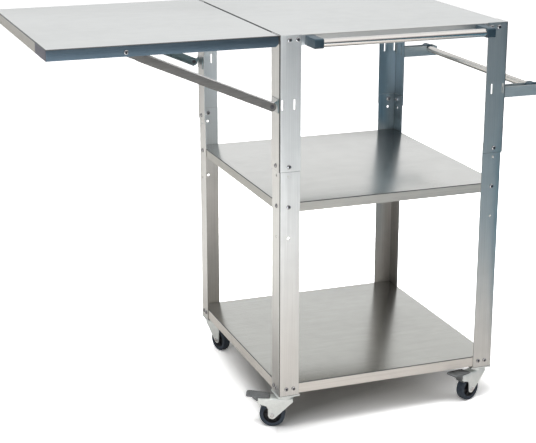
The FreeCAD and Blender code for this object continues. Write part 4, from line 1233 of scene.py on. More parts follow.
@dataclass
class SideLeaf:
    """Folding side leaf with its studs and its two butt hinges."""

    reach: float = 502.0
    gap: float = 1.0
    rim: float = 24.0
    notch: float = 7.0
    dark_corner: float = 105.0
    seam_edge: float = 15.0
    stud_reach: float = 335.0
    stud_height: float = 819.0
    axis_x: float = 0.5
    axis_z: float = 806.5
    barrel: float = 3.0
    pin: float = 1.5
    hinge_width: float = 50.0
    hinge_sheet: float = 1.0
    knuckle_gap: float = 0.3
    hinge_centres: Sequence[tuple[End, float]] = ((End.FRONT, 95.0), (End.BACK, 485.0))
    wing_foot: float = 809.8
    wing_reach: float = 18.0

    def _leaf(self) -> Bench:
        """The leaf's pan, its corner by the seam cut off and its outer rim scored where its
        painted corner reflection ends.

        Returns:
            The leaf, not dressed.
        """
        pan = SheetPan("side_leaf", -self.reach, 0, -self.gap, TABLE_DEPTH, LEG_HEIGHT, self.rim,
                       notch=self.notch).build()
        return pan.score((0, self.dark_corner, 0), (0, 1, 0),
                         lambda centre, normal: normal.x < -0.35)

    def _studs(self) -> Bench:
        """Headed studs through the front and back rims, with inner collars.

        Returns:
            Both studs as one piece.
        """
        stud = ButtonBolt(shank=3.0, length=6.5, socket=2.6, socket_depth=1.8).build("stud")
        collar = Bench.rod("collar", (0, 0, 1.2), Axis.Z, 5, 1.0, 24)
        stud.join(collar.round_edges(0.25, 1, level(Axis.Z)))
        seats = [Seat((-self.stud_reach, y, self.stud_height), inward)
                 for y, inward in ((0, Axis.Y.value), (TABLE_DEPTH, -Axis.Y.value))]
        return stud.repeat("leaf_rim_studs", [seat.matrix() for seat in seats])

    def _hinge_half(self, name: str, centre: float, on_leaf: bool) -> Bench:
        """Half of a butt hinge: a wing up the rim and its rolled knuckles.

        Args:
            name: Name of the piece.
            centre: Its middle along the hinge line.
            on_leaf: Whether it belongs to the leaf, which has the middle knuckle.

        Returns:
            The hinge half.
        """
        third = (self.hinge_width - self.knuckle_gap * 2) / 3
        start = centre - self.hinge_width * 0.5
        starts = [start + (third + self.knuckle_gap) * index for index in range(3)]
        inner = -self.hinge_sheet if on_leaf else self.hinge_sheet
        outer = inner + self.hinge_sheet
        wing = Bench.block(name, (inner, start, self.wing_foot),
                           (outer, start + self.hinge_width, self.wing_foot + self.wing_reach))
        wing.round_edges(2.5, 3, every(running(Axis.X, 0.5), lambda first, second: first.z
                                       > self.wing_foot + 1))
        for knuckle in starts[1:2] if on_leaf else starts[0::2]:
            barrel = Bench.rod("barrel", (self.axis_x, knuckle, self.axis_z), Axis.Y, self.barrel,
                               third, 28)
            barrel.weld(Bench.block("tail", (inner, knuckle, self.axis_z),
                                    (outer, knuckle + third, self.wing_foot + 0.5)))
            barrel.cut(Bench.rod("ream", (self.axis_x, knuckle - 1, self.axis_z), Axis.Y,
                                 self.pin + 0.1, third + 2, 20))
            wing.join(barrel)
        return wing

    def dress(self) -> None:
        """Build and dress the leaf, its studs, hinges and hinge pins."""
        line = TO_TABLE @ Vector((-self.seam_edge, self.dark_corner, 0))
        leaf = self._leaf().dress(TOP_STEEL, "leaf", "leaf_panel")
        leaf.refinish(LEAF_RIM, lambda centre, normal: abs(normal.y) > 0.35)
        # Painted shade on the end rim.
        leaf.refinish(LEAF_END_PAINTED_SHADE, lambda centre, normal: normal.x < -0.35)
        # Painted dark reflection on the end rim near the front corner.
        leaf.refinish(LEAF_CORNER_PAINTED_REFLECTION, lambda centre, normal: normal.x < -0.35 and centre.y < line.y)
        # Painted shade along the leaf's bends.
        leaf.refinish(FOLD_LINE_PAINTED_SHADE, lambda centre, normal: 0.15 < abs(normal.z) < 0.99)
        # Painted shade on the rim in the hinge seam.
        leaf.refinish(HINGE_SEAM_PAINTED_SHADE, lambda centre, normal: normal.x > 0.1 and centre.x > line.x)
        self._studs().dress(FASTENER, "leaf", "leaf_studs")
        pins = []
        for end, centre in self.hinge_centres:
            for side, body, on_leaf in (("table", "frame", False), ("leaf", "leaf", True)):
                half = self._hinge_half(f"hinge_half_{side}_{end.word}", centre, on_leaf)
                half.dress(FITTING_STEEL, body, f"hinge_{side}_{end.word}")
            start = (self.axis_x, centre - self.hinge_width * 0.5, self.axis_z)
            pin = Bench.rod("hinge_line_pins", start, Axis.Y, self.pin, self.hinge_width, 20)
            pins.append(pin.round_edges(0.4, 2, level(Axis.Y)))
        pins[0].join(pins[1]).dress(FASTENER, "frame", "hinge_pins")


def slot_tabs(face: float, inward: float) -> list[Bench]:
    """The two tabs that go through a leg's slots and drop their lips behind the flange.

    Args:
        face: Outer face of the leg.
        inward: 1 or -1, the direction into the leg.

    Returns:
        The tabs.
    """
    sheet = 2.0
    lip_foot, top = SLOT_BOTTOM - 7, SLOT_BOTTOM + 14
    flange = face + sheet * inward
    lip = flange + sheet * inward
    outline = ((face, SLOT_BOTTOM), (flange, SLOT_BOTTOM), (flange, lip_foot), (lip, lip_foot),
               (lip, top), (face, top))
    return [Bench.plate("tab", outline, at - sheet * 0.5, sheet).ease(0.2) for at in SLOT_SPOTS]


@dataclass
class LeafStruts:
    """Channel struts under the leaf, their brackets on the left legs and the pivot pins."""

    pivot: Point = (-13.5, 0.0, 679.0)
    run: float = 321.5
    rise: float = 140.0
    half: float = 10.0
    sheet: float = 1.5
    web: float = 8.0
    flange: float = 16.0
    hook_face: float = 3.2
    hook_sheet: float = 2.5
    hook_tail: float = 12.0
    hook_root: float = 40.0
    joggle: float = 8.0
    hook_slot: float = 3.3
    plate_low: Point = (-2.0, 4.0, 664.0)
    plate_high: Point = (0.0, 44.0, 696.0)
    ear_front: float = 10.0
    ear_sheet: float = 2.0
    ear: float = 7.5
    pin_head: float = 4.8
    head_height: float = 1.6

    @property
    def span(self) -> float:
        """From the pivot to the stud."""
        return math.hypot(self.run, self.rise)

    @property
    def place(self) -> Matrix:
        """Where a strut modelled along -X about its pivot goes."""
        tilt = math.atan2(self.rise, self.run)
        return Matrix.Translation(self.pivot) @ Matrix.Rotation(tilt, 4, "Y")

    def _channel(self, root: float) -> Bench:
        """Bent channel with a round pivot end.

        Args:
            root: Where the channel ends towards the hook.

        Returns:
            The channel along -X about its pivot.
        """
        front, half = self.web, self.half
        channel = Bench.block("strut", (root, front, -half), (0, front + self.flange, half))
        channel.open_faces(lambda centre, normal: normal.y > 0.5 or abs(normal.x) > 0.5)
        channel.round_edges(1.8, 4, every(rim(Axis.Y, front), running(Axis.X, 50)))
        channel.thicken(self.sheet)
        eye = Bench.rod("eye", (0, front, 0), Axis.Y, half, self.sheet, 40)
        eye.slice_off((0, 0, 0), (-1, 0, 0))
        with eye.picked(Pick.EDGES, rim(Axis.X, 0)):
            bpy.ops.mesh.edge_face_add()
        eye.round_edges(0.3, 1, every(level(Axis.Y), lambda first, second: first.x > 0.1))
        return channel.join(eye)

    def _hook(self, root: float) -> Bench:
        """Offset hook plate, with a slot that drops over the stud.

        Args:
            root: Where the channel ends, from which the plate steps outward.

        Returns:
            The plate along -X about the pivot.
        """
        inner = self.half - self.sheet
        tip = -(self.span + self.hook_tail)
        step_end = root + self.joggle
        hook = Bench.block("hook", (tip, self.hook_face, -inner),
                           (step_end, self.hook_face + self.hook_sheet, inner))
        hook.round_edges(3.5, 4, every(running(Axis.Y), lambda first, second: near(first.x, tip)))
        hook.weld(Bench.block("step", (root, self.hook_face, -inner),
                              (step_end, self.web + self.sheet, inner)))
        hook.cut(Bench.rod("mill", (-self.span, 0, 0), Axis.Y, self.hook_slot, 9, 24))
        slant = Bench.block("mill", (0, 0, -self.hook_slot), (self.half * 2, 9, self.hook_slot))
        slant.move(Matrix.Translation((-self.span, 0, 0)) @ Matrix.Rotation(-math.pi / 4, 4, "Y"))
        return hook.cut(slant).ease(0.25)

    def _strut(self) -> Bench:
        """Front strut: the channel and its hook plate.

        Returns:
            The strut in its place.
        """
        root = -(self.span - self.hook_root + self.joggle)
        return self._channel(root).join(self._hook(root)).move(self.place)

    def _bracket(self) -> Bench:
        """Front bracket: a plate on the leg, two hook tabs and the pivot ear.

        Returns:
            The bracket.
        """
        x, _, z = self.pivot
        plate = Bench.block("bracket", self.plate_low, self.plate_high)
        plate.round_edges(3, 4, running(Axis.X)).ease(0.3)
        # The neck's far corners lie inside the ear, so that the two fuse.
        neck = Bench.plate("neck", ((-1.5, z + 2), (-1.5, z + 13), (x + 3, z + 6.4), (x, z),
                                    (x + 6.75, z + 1)), self.ear_front, self.ear_sheet)
        ear = Bench.rod("ear", (x, self.ear_front, z), Axis.Y, self.ear, self.ear_sheet, 36)
        plate.join(ear.weld(neck).ease(0.25))
        for tab in slot_tabs(0, 1):
            plate.join(tab)
        return plate

    def _pin(self) -> Bench:
        """Front pivot pin with its two domed heads.

        Returns:
            The pin.
        """
        x, _, z = self.pivot
        outer = self.web - self.head_height
        inner = self.ear_front + self.ear_sheet
        heads = []
        for start, dome in ((outer, outer), (inner, inner + self.head_height)):
            head = Bench.rod("pivot", (x, start, z), Axis.Y, self.pin_head, self.head_height, 28)
            heads.append(head.round_edges(1.0, 3, rim(Axis.Y, dome)))
        shank = Bench.rod("shank", (x, self.web, z), Axis.Y, 3, inner - self.web, 20)
        return heads[0].join(heads[1], shank)

    def dress(self) -> None:
        """Build the front set, mirror it to the back and dress both."""
        strut, bracket, pin = self._strut(), self._bracket(), self._pin()
        pins = []
        # The back strut takes a painted blue-grey shade, unlike the front one.
        for end, steel in ((End.FRONT, STRUT_STEEL), (End.BACK, BACK_STRUT_PAINTED_SHADE)):
            channel = strut.copy(f"leaf_strut_{end.word}", end.mirror)
            channel.dress(steel, f"{end.word}_strut", f"strut_{end.word}")
            # Painted highlight along the channel's top bend.
            channel.refinish(TOP_EDGE_PAINTED_HIGHLIGHT, lambda centre, normal: normal.z > 0.12)
            hanger = bracket.copy(f"strut_hook_bracket_{end.word}", end.mirror)
            hanger.dress(FITTING_STEEL, "frame", f"strut_bracket_{end.word}")
            # Painted shade on the bracket's front and back faces.
            hanger.refinish(BACK_STRUT_PAINTED_SHADE, lambda centre, normal: abs(normal.y) > 0.5)
            pins.append(pin.copy("strut_pivot_pins", end.mirror))
        # Painted shade over the whole of the pivot pins.
        pins[0].join(pins[1]).dress(FASTENER_PAINTED_SHADE, "frame", "strut_pins")
        for pattern in (strut, bracket, pin):
            pattern.put_away()


@dataclass
class TowelBar:
    """Round bar along the front between two plastic brackets, each with one screw."""

    inset: float = 60.0
    width: float = 21.0
    reach: float = 41.0
    nose: float = 11.0
    height: float = 820.0
    radius: float = 9.0
    bore: float = 7.8
    wall: float = 6.0
    back: float = 2.0
    screw_seat: float = 3.2

    def _bracket(self) -> Bench:
        """Left bracket: a rounded block with a socket for the bar.

        Returns:
            The bracket.
        """
        half = self.width * 0.5
        front = -(self.reach + self.nose)
        left = self.inset
        bracket = Bench.block("bracket", (left, front, self.height - half),
                              (left + self.width, self.back, self.height + half))
        bracket.round_edges(4.0, 5, every(rim(Axis.Y, front), level(Axis.Z)))
        bracket.round_edges(1.3, 3, lambda first, second: min(first.y, second.y)
                            < self.back - 0.1)
        return bracket.cut(Bench.rod("socket", (left + self.wall, -self.reach, self.height),
                                     Axis.X, self.radius + 0.15, self.width, 40))

    def dress(self) -> None:
        """Build and dress the brackets, the bar and the screws."""
        bracket = self._bracket()
        for side, to_right in (("left", False), ("right", True)):
            bracket.copy(f"towel_bar_bracket_{side}", mirror(to_right, False)).dress(
                PLASTIC, "frame", f"towel_bracket_{side}")
        bracket.put_away()
        start = self.inset + self.wall
        bar = Bench.tube("towel_bar_tube", (start, -self.reach, self.height), Axis.X, self.radius,
                         self.bore, TABLE_WIDTH - start * 2)
        bar.dress(BAR_STEEL, "frame", "towel_bar")
        screw = ButtonBolt(head=4, shank=2, length=12, socket=1.5).build("screw")
        screws = screw.repeat("towel_bar_screws", [
            Seat((x, self.screw_seat, self.height), -Axis.Y.value).matrix()
            for x in both_ends(TABLE_WIDTH, self.inset + self.width * 0.5)])
        screws.dress(FASTENER, "frame", "towel_screws")


@dataclass
class SideRail:
    """Two channel arms hooked into the right legs, a round rod and its two caps."""

    length: float = 102.0
    low: float = 658.0
    high: float = 683.0
    outer: float = 6.0
    inner: float = 36.0
    sheet: float = 2.0
    rod_reach: float = 80.0
    rod_height: float = 676.0
    rod_radius: float = 8.0
    rod_bore: float = 6.8
    cap_half: float = 12.0
    clearance: float = 0.3
    socket_floor: float = 5.0

    @property
    def rod_x(self) -> float:
        """Axis of the rod."""
        return TABLE_WIDTH + self.rod_reach

    @property
    def cap_start(self) -> float:
        """Outer face of the front cap, which fits between the arm's walls."""
        return self.outer + self.sheet + self.clearance

    def _arm(self) -> Bench:
        """Front arm, open at the top and at the leg, with its hook tabs.

        Returns:
            The arm.
        """
        far = TABLE_WIDTH + self.length
        arm = Bench.block("arm", (TABLE_WIDTH, self.outer, self.low), (far, self.inner, self.high))
        arm.open_faces(lambda centre, normal: normal.z > 0.5 or normal.x < -0.5)
        arm.round_edges(2.4, 4, either(every(rim(Axis.Z, self.low), running(Axis.X, 9)),
                                       rim(Axis.X, far)))
        arm.thicken(self.sheet)
        notch = self.rod_radius + self.clearance
        wall = self.inner - self.sheet - 1
        arm.cut(Bench.rod("mill", (self.rod_x, wall, self.rod_height), Axis.Y, notch, 5, 32),
                Bench.block("mill", (self.rod_x - notch, wall, self.rod_height),
                            (self.rod_x + notch, wall + 5, self.high + 2)))
        arm.ease(0.25)
        for tab in slot_tabs(TABLE_WIDTH, -1):
            arm.join(tab)
        return arm

    def _cap(self) -> Bench:
        """Front cap: an arch whose rounded shoulders stand above the arm.

        Returns:
            The cap.
        """
        start = self.cap_start
        end = self.inner - self.sheet - self.clearance
        arch = [(self.rod_x + self.cap_half * math.cos(angle),
                 self.rod_height + self.cap_half * math.sin(angle))
                for angle in (math.pi * step / 20 for step in range(21))]
        floor = self.low + self.sheet
        outline = [(self.rod_x + self.cap_half, floor), *arch, (self.rod_x - self.cap_half, floor)]
        cap = Bench.plate("cap", outline, start, end - start)
        cap.round_edges(1.2, 3, every(level(Axis.Y), lambda first, second: max(
            first.z, second.z) > floor + 1))
        socket = (self.rod_x, start + self.socket_floor, self.rod_height)
        return cap.cut(Bench.rod("socket", socket, Axis.Y, self.rod_radius + 0.15, 40, 40))

    def dress(self) -> None:
        """Build the front set, mirror it to the back and dress all."""
        arm, cap = self._arm(), self._cap()
        for end in End:
            channel = arm.copy(f"side_rail_arm_{end.word}", end.mirror)
            channel.dress(RAIL_STEEL, "frame", f"rail_arm_{end.word}")
            # Painted highlight along the arm's top edges.
            channel.refinish(TOP_EDGE_PAINTED_HIGHLIGHT, lambda centre, normal: normal.z > 0.3)
            cap.copy(f"side_rail_cap_{end.word}", end.mirror).dress(
                PLASTIC, "frame", f"rail_cap_{end.word}")
        arm.put_away()
        cap.put_away()
        start = self.cap_start + self.socket_floor
        rod = Bench.tube("side_rail_rod", (self.rod_x, start, self.rod_height), Axis.Y,
                         self.rod_radius, self.rod_bore, TABLE_DEPTH - start * 2)
        rod.dress(ROD_STEEL, "frame", "rail_rod")


@dataclass(frozen=True)
class Disc:
    """A round part with an upright axis: its low end, radius, height and sides."""

    low: float
    radius: float
    height: float
    sides: int

    def build(self, name: str, at: Spot = (0, 0)) -> Bench:
        """The part as a blank, by default about the origin."""
        return Bench.rod(name, (*at, self.low), Axis.Z, self.radius, self.height, self.sides)


@dataclass
class Caster:
    """Swivel caster, modelled about its swivel axis at the leg's foot, trailing along +X."""

    corner: Corner
    heading: float
    braked: bool
    plate_sheet: float = 2.5
    dish: Disc = Disc(-7.0, 14.0, 5.0, 40)
    rivet: Disc = Disc(-17.3, 7.0, 3.0, 28)
    neck: Disc = Disc(-14.5, 4.0, 8.0, 20)
    bolt_head: Disc = Disc(-4.7, 4.0, 2.2, 6)
    bolt_shank: Disc = Disc(-3.0, 2.5, 5.5, 16)
    race: Disc = Disc(-12.5, 17.0, 5.2, 44)
    race_bore: Disc = Disc(-14.0, 12.5, 9.0, 32)
    cup: Disc = Disc(-13.0, 12.8, 3.5, 32)
    cup_bore: Disc = Disc(-15.0, 4.15, 9.0, 24)
    fork_top: float = -12.0
    sheet: float = 2.0
    half: float = 14.0
    trail: float = 30.0
    axle_z: float = -54.0
    axle: float = 3.0
    bore: float = 3.1
    hexagon: float = 5.5
    hexagon_height: float = 3.0
    wheel: float = 30.0
    wheel_width: float = 20.0
    tyre_shoulder: float = 2.2
    groove: float = 1.0
    groove_depth: float = 0.7
    rim: float = 21.0
    rim_wall: float = 2.8
    hub_half: float = 9.0
    web_depth: float = 5.5
    hub_boss: float = 8.0
    hub_boss_half: float = 11.5
    ribs: int = 6
    rib_low: Point = (6.5, -7.5, -1.0)
    rib_high: Point = (19.2, 7.5, 1.0)
    boss: float = 9.5
    front: float = 18.0
    crown_end: float = 35.0
    pin: float = 2.0
    pedal_axis: Spot = (57.0, -19.5)
    stop_pin: Spot = (33.0, -18.5)
    pedal_half: float = 15.0
    pad_ribs: Sequence[float] = (70, 75, 80, 85)
    pad_rib_half: float = 0.7
    finger: float = 13.5
    finger_half: float = 11.7

    @property
    def axis_point(self) -> Vector:
        """Swivel axis at the leg's foot."""
        return self.corner.mirror @ Vector((FOOT_CENTRE, FOOT_CENTRE, 0))

    @property
    def place(self) -> Matrix:
        """Where a piece modelled about the swivel axis goes."""
        return Matrix.Translation(self.axis_point) @ Matrix.Rotation(
            math.radians(self.heading), 4, "Z")

    @property
    def tail(self) -> float:
        """How far the fork reaches behind the swivel axis."""
        return 63.0 if self.braked else 41.0

    def _across(self, name: str, start: float, radius: float, length: float, sides: int) -> Bench:
        """Rod across the caster on the axle's line, from a start along Y."""
        return Bench.rod(name, (self.trail, start, self.axle_z), Axis.Y, radius, length, sides)

    def _plate(self) -> Bench:
        """Mounting plate, pressed dish, king rivet and four bolts.

        Returns:
            The plate in its place.
        """
        side = FOOT_CENTRE
        plate = Bench.block("plate", (-side, -side, -self.plate_sheet), (side, side, 0))
        plate.round_edges(5, 5, running(Axis.Z)).ease(0.3, 2)
        dish = self.dish.build("dish").round_edges(1.6, 4, rim(Axis.Z, self.dish.low))
        rivet = self.rivet.build("rivet").round_edges(1.6, 3, rim(Axis.Z, self.rivet.low))
        plate.join(dish, rivet, self.neck.build("neck"))
        for spot in FOOT_BOLTS:
            head = self.bolt_head.build("head", spot)
            plate.join(head.round_edges(0.4, 2, rim(Axis.Z, self.bolt_head.low)),
                       self.bolt_shank.build("shank", spot))
        return plate.move(Matrix.Translation(self.axis_point))

    def _cheek_outline(self) -> list[Spot]:
        """Side view of the fork, wide at the top and narrow at the axle.

        Returns:
            Its corners as (x, z).
        """
        boss = self.boss
        behind = self.trail + boss
        axle = self.axle_z
        outline = [(behind, axle)]
        if self.braked:
            outline += [(behind, axle + boss * 1.5), (behind + boss * 0.4, axle + boss * 2.3),
                        (self.tail - boss * 0.4, axle + boss * 2.8),
                        (self.tail, axle + boss * 3.1)]
        else:
            outline.append((self.tail, axle + boss * 2.3))
        outline += [(self.tail, self.fork_top), (-self.front, self.fork_top),
                    (-self.front, self.fork_top - boss * 0.8)]
        round_foot = [(self.trail + boss * math.cos(angle), axle + boss * math.sin(angle))
                      for angle in (math.radians(218 + 14.2 * step) for step in range(10))]
        return outline + round_foot

    def _race(self) -> list[Bench]:
        """Ball race on the crown and the cup inside it.

        Returns:
            Both rings.
        """
        shoulder = rim(Axis.Z, self.race.low + self.race.height)
        race = self.race.build("race").round_edges(1.4, 3, shoulder)
        return [race.cut(self.race_bore.build("ream")),
                self.cup.build("cup").cut(self.cup_bore.build("ream"))]

    def _fork(self) -> Bench:
        """Pressed fork with its ball race and, if braked, the pedal's pins.

        Returns:
            The fork in its place.
        """
        half, top, over = self.half, self.fork_top, 5
        gap = half - self.sheet
        fork = Bench.plate("fork", self._cheek_outline(), -half, half * 2)
        fork.round_edges(3.0, 4, every(rim(Axis.Z, top), level(Axis.Y)))
        fork.cut(Bench.block("mill", (-self.front - over, -gap, -90),
                             (self.tail + over, gap, top - self.sheet)))
        if self.braked:
            fork.cut(Bench.block("mill", (self.crown_end, -gap, top - self.sheet - 1),
                                 (self.tail + over, gap, top + 2)))
        fork.cut(self._across("drill", -half - 1, self.bore, 30, 24)).ease(0.3)
        fork.join(*self._race())
        for x, z in (self.pedal_axis, self.stop_pin) if self.braked else ():
            pin = Bench.rod("pin", (x, -half - 0.5, z), Axis.Y, self.pin, half * 2 + 1, 20)
            fork.join(pin.round_edges(0.4, 2, level(Axis.Y)))
        return fork.move(self.place)

    def _axle(self) -> Bench:
        """Axle bolt with its hexagon head and nut.

        Returns:
            The bolt in its place.
        """
        end = self.half + self.hexagon_height
        axle = self._across("axle", -end + 0.1, self.axle, end * 2 - 0.2, 24)
        axle.round_edges(0.5, 2, level(Axis.Y))
        for start, outer in ((-end, -end), (self.half, end)):
            head = self._across("head", start, self.hexagon, self.hexagon_height, 6)
            axle.join(head.round_edges(0.5, 2, rim(Axis.Y, outer)))
        return axle.move(self.place)

    def _hub(self) -> Bench:
        """Wheel centre with its rim ring, web, ribs and axle boss.

        Returns:
            The wheel centre in its place.
        """
        half = self.hub_boss_half
        hub = self._across("hub", -self.hub_half, self.rim, self.hub_half * 2, 56)
        hub.inset(self.rim_wall, -self.web_depth, lambda centre, normal: abs(normal.y) > 0.5)
        boss = self._across("boss", -half, self.hub_boss, half * 2, 40)
        hub.weld(boss.round_edges(0.8, 2, level(Axis.Y)))
        hub.cut(self._across("bore", -half - 1.5, self.bore, half * 2 + 3, 24))
        centre = Matrix.Translation((self.trail, 0, self.axle_z))
        for index in range(self.ribs):
            rib = Bench.block("rib", self.rib_low, self.rib_high)
            rib.move(centre @ Matrix.Rotation(math.tau * index / self.ribs, 4, "Y"))
            hub.join(rib.ease(0.4))
        return hub.move(self.place)

    def _tyre(self) -> Bench:
        """Tread ring with rounded shoulders and a groove in each side.

        Returns:
            The tyre in its place.
        """
        side = self.wheel_width * 0.5
        tyre = self._across("tyre", -side, self.wheel, self.wheel_width, 72)
        tyre.round_edges(3.0, 5, level(Axis.Y))
        tyre.inset(self.tyre_shoulder, 0, lambda centre, normal: abs(normal.y) > 0.9)
        tyre.inset(self.groove, -self.groove_depth, lambda centre, normal: abs(normal.y) > 0.9
                   and abs(centre.x - self.trail) < 1 and abs(centre.z - self.axle_z) < 1)
        tyre.cut(self._across("bore", -side - 1, self.rim, side * 2 + 2, 56))
        return tyre.move(self.place)

    def _pad(self) -> Bench:
        """Ribbed foot pad of the pedal, bent down behind its arm.

        Returns:
            The pad about the swivel axis.
        """
        top, half = self.fork_top, self.pedal_half
        pad = Bench.plate("pedal", ((37, top + 1.6), (37, top + 3.2), (63, -6), (89, -3.5),
                                    (92, -5.5), (91, -8.5), (77, -10), (66, -20), (64.6, -19.5),
                                    (64.6, top + 1.6)), -half, half * 2)
        pad.round_edges(3.5, 4, lambda first, second: abs((second - first).y) < 0.01
                        and abs(first.y) > half - 1 and min(first.x, second.x) > 80)
        pad.ease(0.6, 2)
        for x in self.pad_ribs:
            pad.cut(Bench.block("mill", (x - self.pad_rib_half, -12, -5.6),
                                (x + self.pad_rib_half, 12, 0)))
        return pad

    def _pedal(self) -> Bench:
        """Foot pedal: its pad and the brake finger between the fork's cheeks.

        Returns:
            The pedal in its place.
        """
        top, half = self.fork_top, self.finger_half
        x, z = self.pedal_axis
        tip = [(x + self.finger * math.cos(angle), z + self.finger * math.sin(angle))
               for angle in (math.radians(238), math.radians(266))]
        finger = Bench.plate("finger", ((38, top + 1.6), (49, -18.5), (51, -23.5), *tip,
                                        (62, -22.5), (64.6, -19.5), (64.6, top + 2.6),
                                        (38, top + 2.6)), -half, half * 2)
        finger.cut(Bench.rod("ream", (x, -13, z), Axis.Y, self.pin + 0.15, 26, 24)).ease(0.3)
        return self._pad().join(finger).move(self.place)

    def dress(self) -> None:
        """Build and dress the caster's pieces."""
        short = self.corner.short
        swivel = f"swivel_{short}"
        wheel = f"wheel_{short}"
        pieces = [
            (self._plate(), "caster_top_plate", ZINC, "frame", "caster_plate"),
            (self._fork(), "caster_pressed_fork", ZINC, swivel, "caster_fork"),
            (self._axle(), "caster_axle_bolt", FASTENER, swivel, "caster_axle"),
            (self._hub(), "caster_wheel_centre", WHEEL_PLASTIC, wheel, "wheel_hub"),
            (self._tyre(), "caster_wheel_tread", RUBBER, wheel, "wheel_tyre"),
        ]
        if self.braked:
            pieces.append((self._pedal(), "caster_foot_pedal", PEDAL_FINISH, f"pedal_{short}",
                           "brake_pedal"))
        for bench, name, finish, body, node in pieces:
            bench.piece.name = f"{name}_{short}"
            bench.dress(finish, body, f"{node}_{short}")


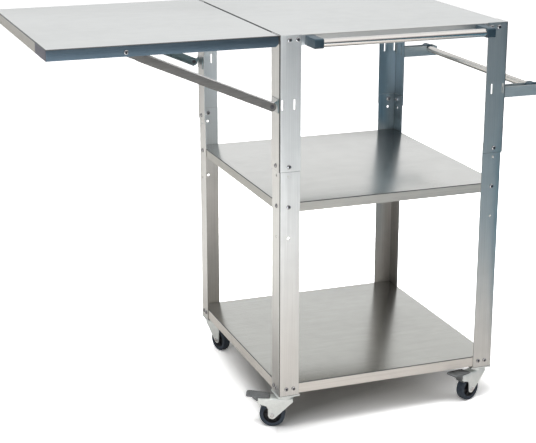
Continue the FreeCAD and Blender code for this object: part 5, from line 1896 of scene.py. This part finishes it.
@dataclass
class Studio:
    """Pale floor, soft light and the camera."""

    eye: Point = (-1065.6, -2813.2, 1342.0)
    yaw: float = 20.28
    pitch: float = 17.0
    roll: float = 0.02
    focal: float = 1428.2
    picture_width: float = 536.0
    sensor: float = 36.0
    floor_side: float = 16.0

    def camera(self) -> None:
        """Place the camera of the photograph."""
        yaw, pitch, roll = (math.radians(angle) for angle in (self.yaw, self.pitch, self.roll))
        ahead = Vector((math.sin(yaw) * math.cos(pitch), math.cos(yaw) * math.cos(pitch),
                        -math.sin(pitch)))
        level_right = Vector((math.cos(yaw), -math.sin(yaw), 0))
        upward = level_right.cross(ahead)
        right = level_right * math.cos(roll) + upward * math.sin(roll)
        above = upward * math.cos(roll) - level_right * math.sin(roll)
        camera = bpy.data.objects.new("camera", bpy.data.cameras.new("camera"))
        bpy.context.scene.collection.objects.link(camera)
        place = Matrix((right, above, -ahead)).transposed().to_4x4()
        place.translation = TO_TABLE @ Vector(self.eye)
        camera.matrix_world = place
        camera.data.sensor_width = self.sensor
        camera.data.lens = self.focal * self.sensor / self.picture_width
        bpy.context.scene.camera = camera

    def _seen_tone(self, bench: NodeBench, across: Socket, along: Socket) -> Socket:
        """Tone of the floor as the eye sees it: a painted shadow, grey under the table and darkest
        to the left, and white all round.

        Args:
            bench: Where the nodes go.
            across: X of the floor.
            along: Y of the floor.

        Returns:
            The tone.
        """
        left = bench.math("MULTIPLY_ADD", along, -0.20, across)
        ahead = bench.math("MULTIPLY_ADD", across, -0.30, along)
        beside = bench.math("MAXIMUM", bench.span(left, -0.01, -0.105),
                            bench.span(across, 0.455, 0.535))
        ends = bench.math("MAXIMUM", bench.span(ahead, -0.18, -0.54),
                          bench.span(along, 0.30, 0.42))
        # Painted shadow: the floor under the table is painted grey on top of its rendered shadow.
        under = bench.tint(bench.span(across, -0.05, 0.30), (0.55,) * 3, (0.86,) * 3)
        return bench.tint(bench.math("MAXIMUM", beside, ends), under, (2.8,) * 3)

    def _mirrored_tone(self, bench: NodeBench, across: Socket, along: Socket) -> Socket:
        """Tone of the floor as the steel mirrors it, brightest far to the left.

        Args:
            bench: Where the nodes go.
            across: X of the floor.
            along: Y of the floor.

        Returns:
            The tone.
        """
        slant = bench.math("MULTIPLY_ADD", along, 0.15, across)
        reach = bench.add("ShaderNodeVectorMath", {0: bench.placed((1, 1, 0))},
                          operation="LENGTH").outputs["Value"]
        cool = bench.math("MULTIPLY", bench.span(along, -0.8, -1.9), bench.span(slant, 0.56, 0.46))
        far = bench.tint(cool, (1.46, 1.42, 1.36), (2.42, 2.56, 2.68))
        close = bench.tint(bench.span(across, -0.12, -0.40), (0.66, 0.625, 0.59),
                           (0.82, 0.805, 0.77))
        lit = bench.tint(bench.span(reach, 0.8, 3.2), close, far)
        dusk = bench.tint(bench.span(slant, 0.66, 0.88), (0.17, 0.165, 0.155), (0.07, 0.20, 0.28))
        sweep = bench.tint(bench.span(slant, 0.57, 0.86), lit, dusk)
        behind = bench.math("MULTIPLY_ADD", along, 0.367, across)
        at_back = bench.math("MULTIPLY", bench.span(along, 0.4, 0.8, 0.0, 0.8),
                             bench.span(behind, 0.15, 0.45))
        return bench.tint(at_back, sweep, (0.16, 0.16, 0.15))

    def floor(self) -> None:
        """Lay a pale floor that keeps the table's rendered shadow, deepens it with a painted
        shadow under the table and has its own tone in the steel.
        """
        bpy.ops.object.select_all(action="DESELECT")
        bpy.ops.mesh.primitive_plane_add(size=self.floor_side, location=(0, 0, 0))
        floor = bpy.context.object
        floor.name = "studio_floor"
        material = bpy.data.materials.new("studio_floor_paint")
        bench = NodeBench.cleared(material)
        across, along, _ = bench.add("ShaderNodeSeparateXYZ", {0: bench.placed((1, 1, 1))}).outputs
        path = bench.add("ShaderNodeLightPath").outputs
        seen = bench.tint(path["Is Camera Ray"], (0.8,) * 3, self._seen_tone(bench, across, along))
        tone = bench.tint(path["Is Glossy Ray"], seen, self._mirrored_tone(bench, across, along))
        paint = bench.add("ShaderNodeBsdfDiffuse", {"Color": tone})
        bench.add("ShaderNodeOutputMaterial", {"Surface": paint.outputs[0]})
        floor.data.materials.append(material)

    def world(self) -> None:
        """White backdrop behind the table and a dimmer studio in front of it."""
        world = bpy.data.worlds.new("studio")
        bpy.context.scene.world = world
        bench = NodeBench.cleared(world)
        direction = bench.add("ShaderNodeTexCoord").outputs["Generated"]
        _, along, upward = bench.add("ShaderNodeSeparateXYZ", {0: direction}).outputs
        front = bench.tint(bench.span(upward, 0.15, 0.60), (0.15, 0.15, 0.16), (1.05, 1.03, 1.0))
        mirrored = bench.tint(bench.span(along, -0.35, 0.45), front, (0.86, 0.865, 0.865))
        path = bench.add("ShaderNodeLightPath").outputs
        light = bench.tint(path["Is Glossy Ray"], (0.38,) * 3, mirrored)
        surround = bench.add("ShaderNodeBackground", {"Color": light})
        white = bench.add("ShaderNodeBackground", {"Color": (1, 1, 1)})
        choice = bench.add("ShaderNodeMixShader", {
            0: path["Is Camera Ray"], 1: surround.outputs[0], 2: white.outputs[0]})
        bench.add("ShaderNodeOutputWorld", {"Surface": choice.outputs[0]})

    def lamp(self, name: str, place: Point, aim: Point, size: float, power: float) -> None:
        """Hang a square softbox that the steel doesn't mirror.

        Args:
            name: Name of the lamp.
            place: Where it hangs, in metres.
            aim: Point that it faces.
            size: Its side.
            power: Its power in watts.
        """
        data = bpy.data.lights.new(name, "AREA")
        data.size = size
        data.energy = power
        lamp = bpy.data.objects.new(name, data)
        bpy.context.scene.collection.objects.link(lamp)
        lamp.location = place
        lamp.visible_glossy = False
        lamp.rotation_euler = (Vector(aim) - Vector(place)).to_track_quat("-Z", "Y").to_euler()

    def set_up(self) -> None:
        """Put floor, light and camera in place."""
        self.camera()
        self.floor()
        self.world()
        middle = (0, 0, 0.5)
        self.lamp("overhead_softbox", (-0.6, -0.3, 3.2), middle, 2.2, 105)
        self.lamp("front_left_softbox", (-2.8, -2.6, 1.9), middle, 1.8, 30)
        self.lamp("right_softbox", (2.8, -1.2, 1.6), middle, 1.2, 14)


def main() -> None:
    """Build and dress the table and set up the studio."""
    logging.basicConfig(level=logging.INFO, format="%(name)s: %(message)s")
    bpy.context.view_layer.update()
    assemblies = [
        TopAndShelves(),
        AngleLegs(),
        FrameFasteners(),
        SideLeaf(),
        LeafStruts(),
        TowelBar(),
        SideRail(),
        Caster(Corner.FRONT_LEFT, 155.7, True),
        Caster(Corner.FRONT_RIGHT, 200.8, True),
        Caster(Corner.BACK_LEFT, 285.7, False),
        Caster(Corner.BACK_RIGHT, 252.0, False),
    ]
    for assembly in assemblies:
        assembly.dress()
        LOG.info("%s done", type(assembly).__name__)
    Studio().set_up()
    bpy.context.scene.view_settings.view_transform = "Standard"


if __name__ == "__main__":
    main()
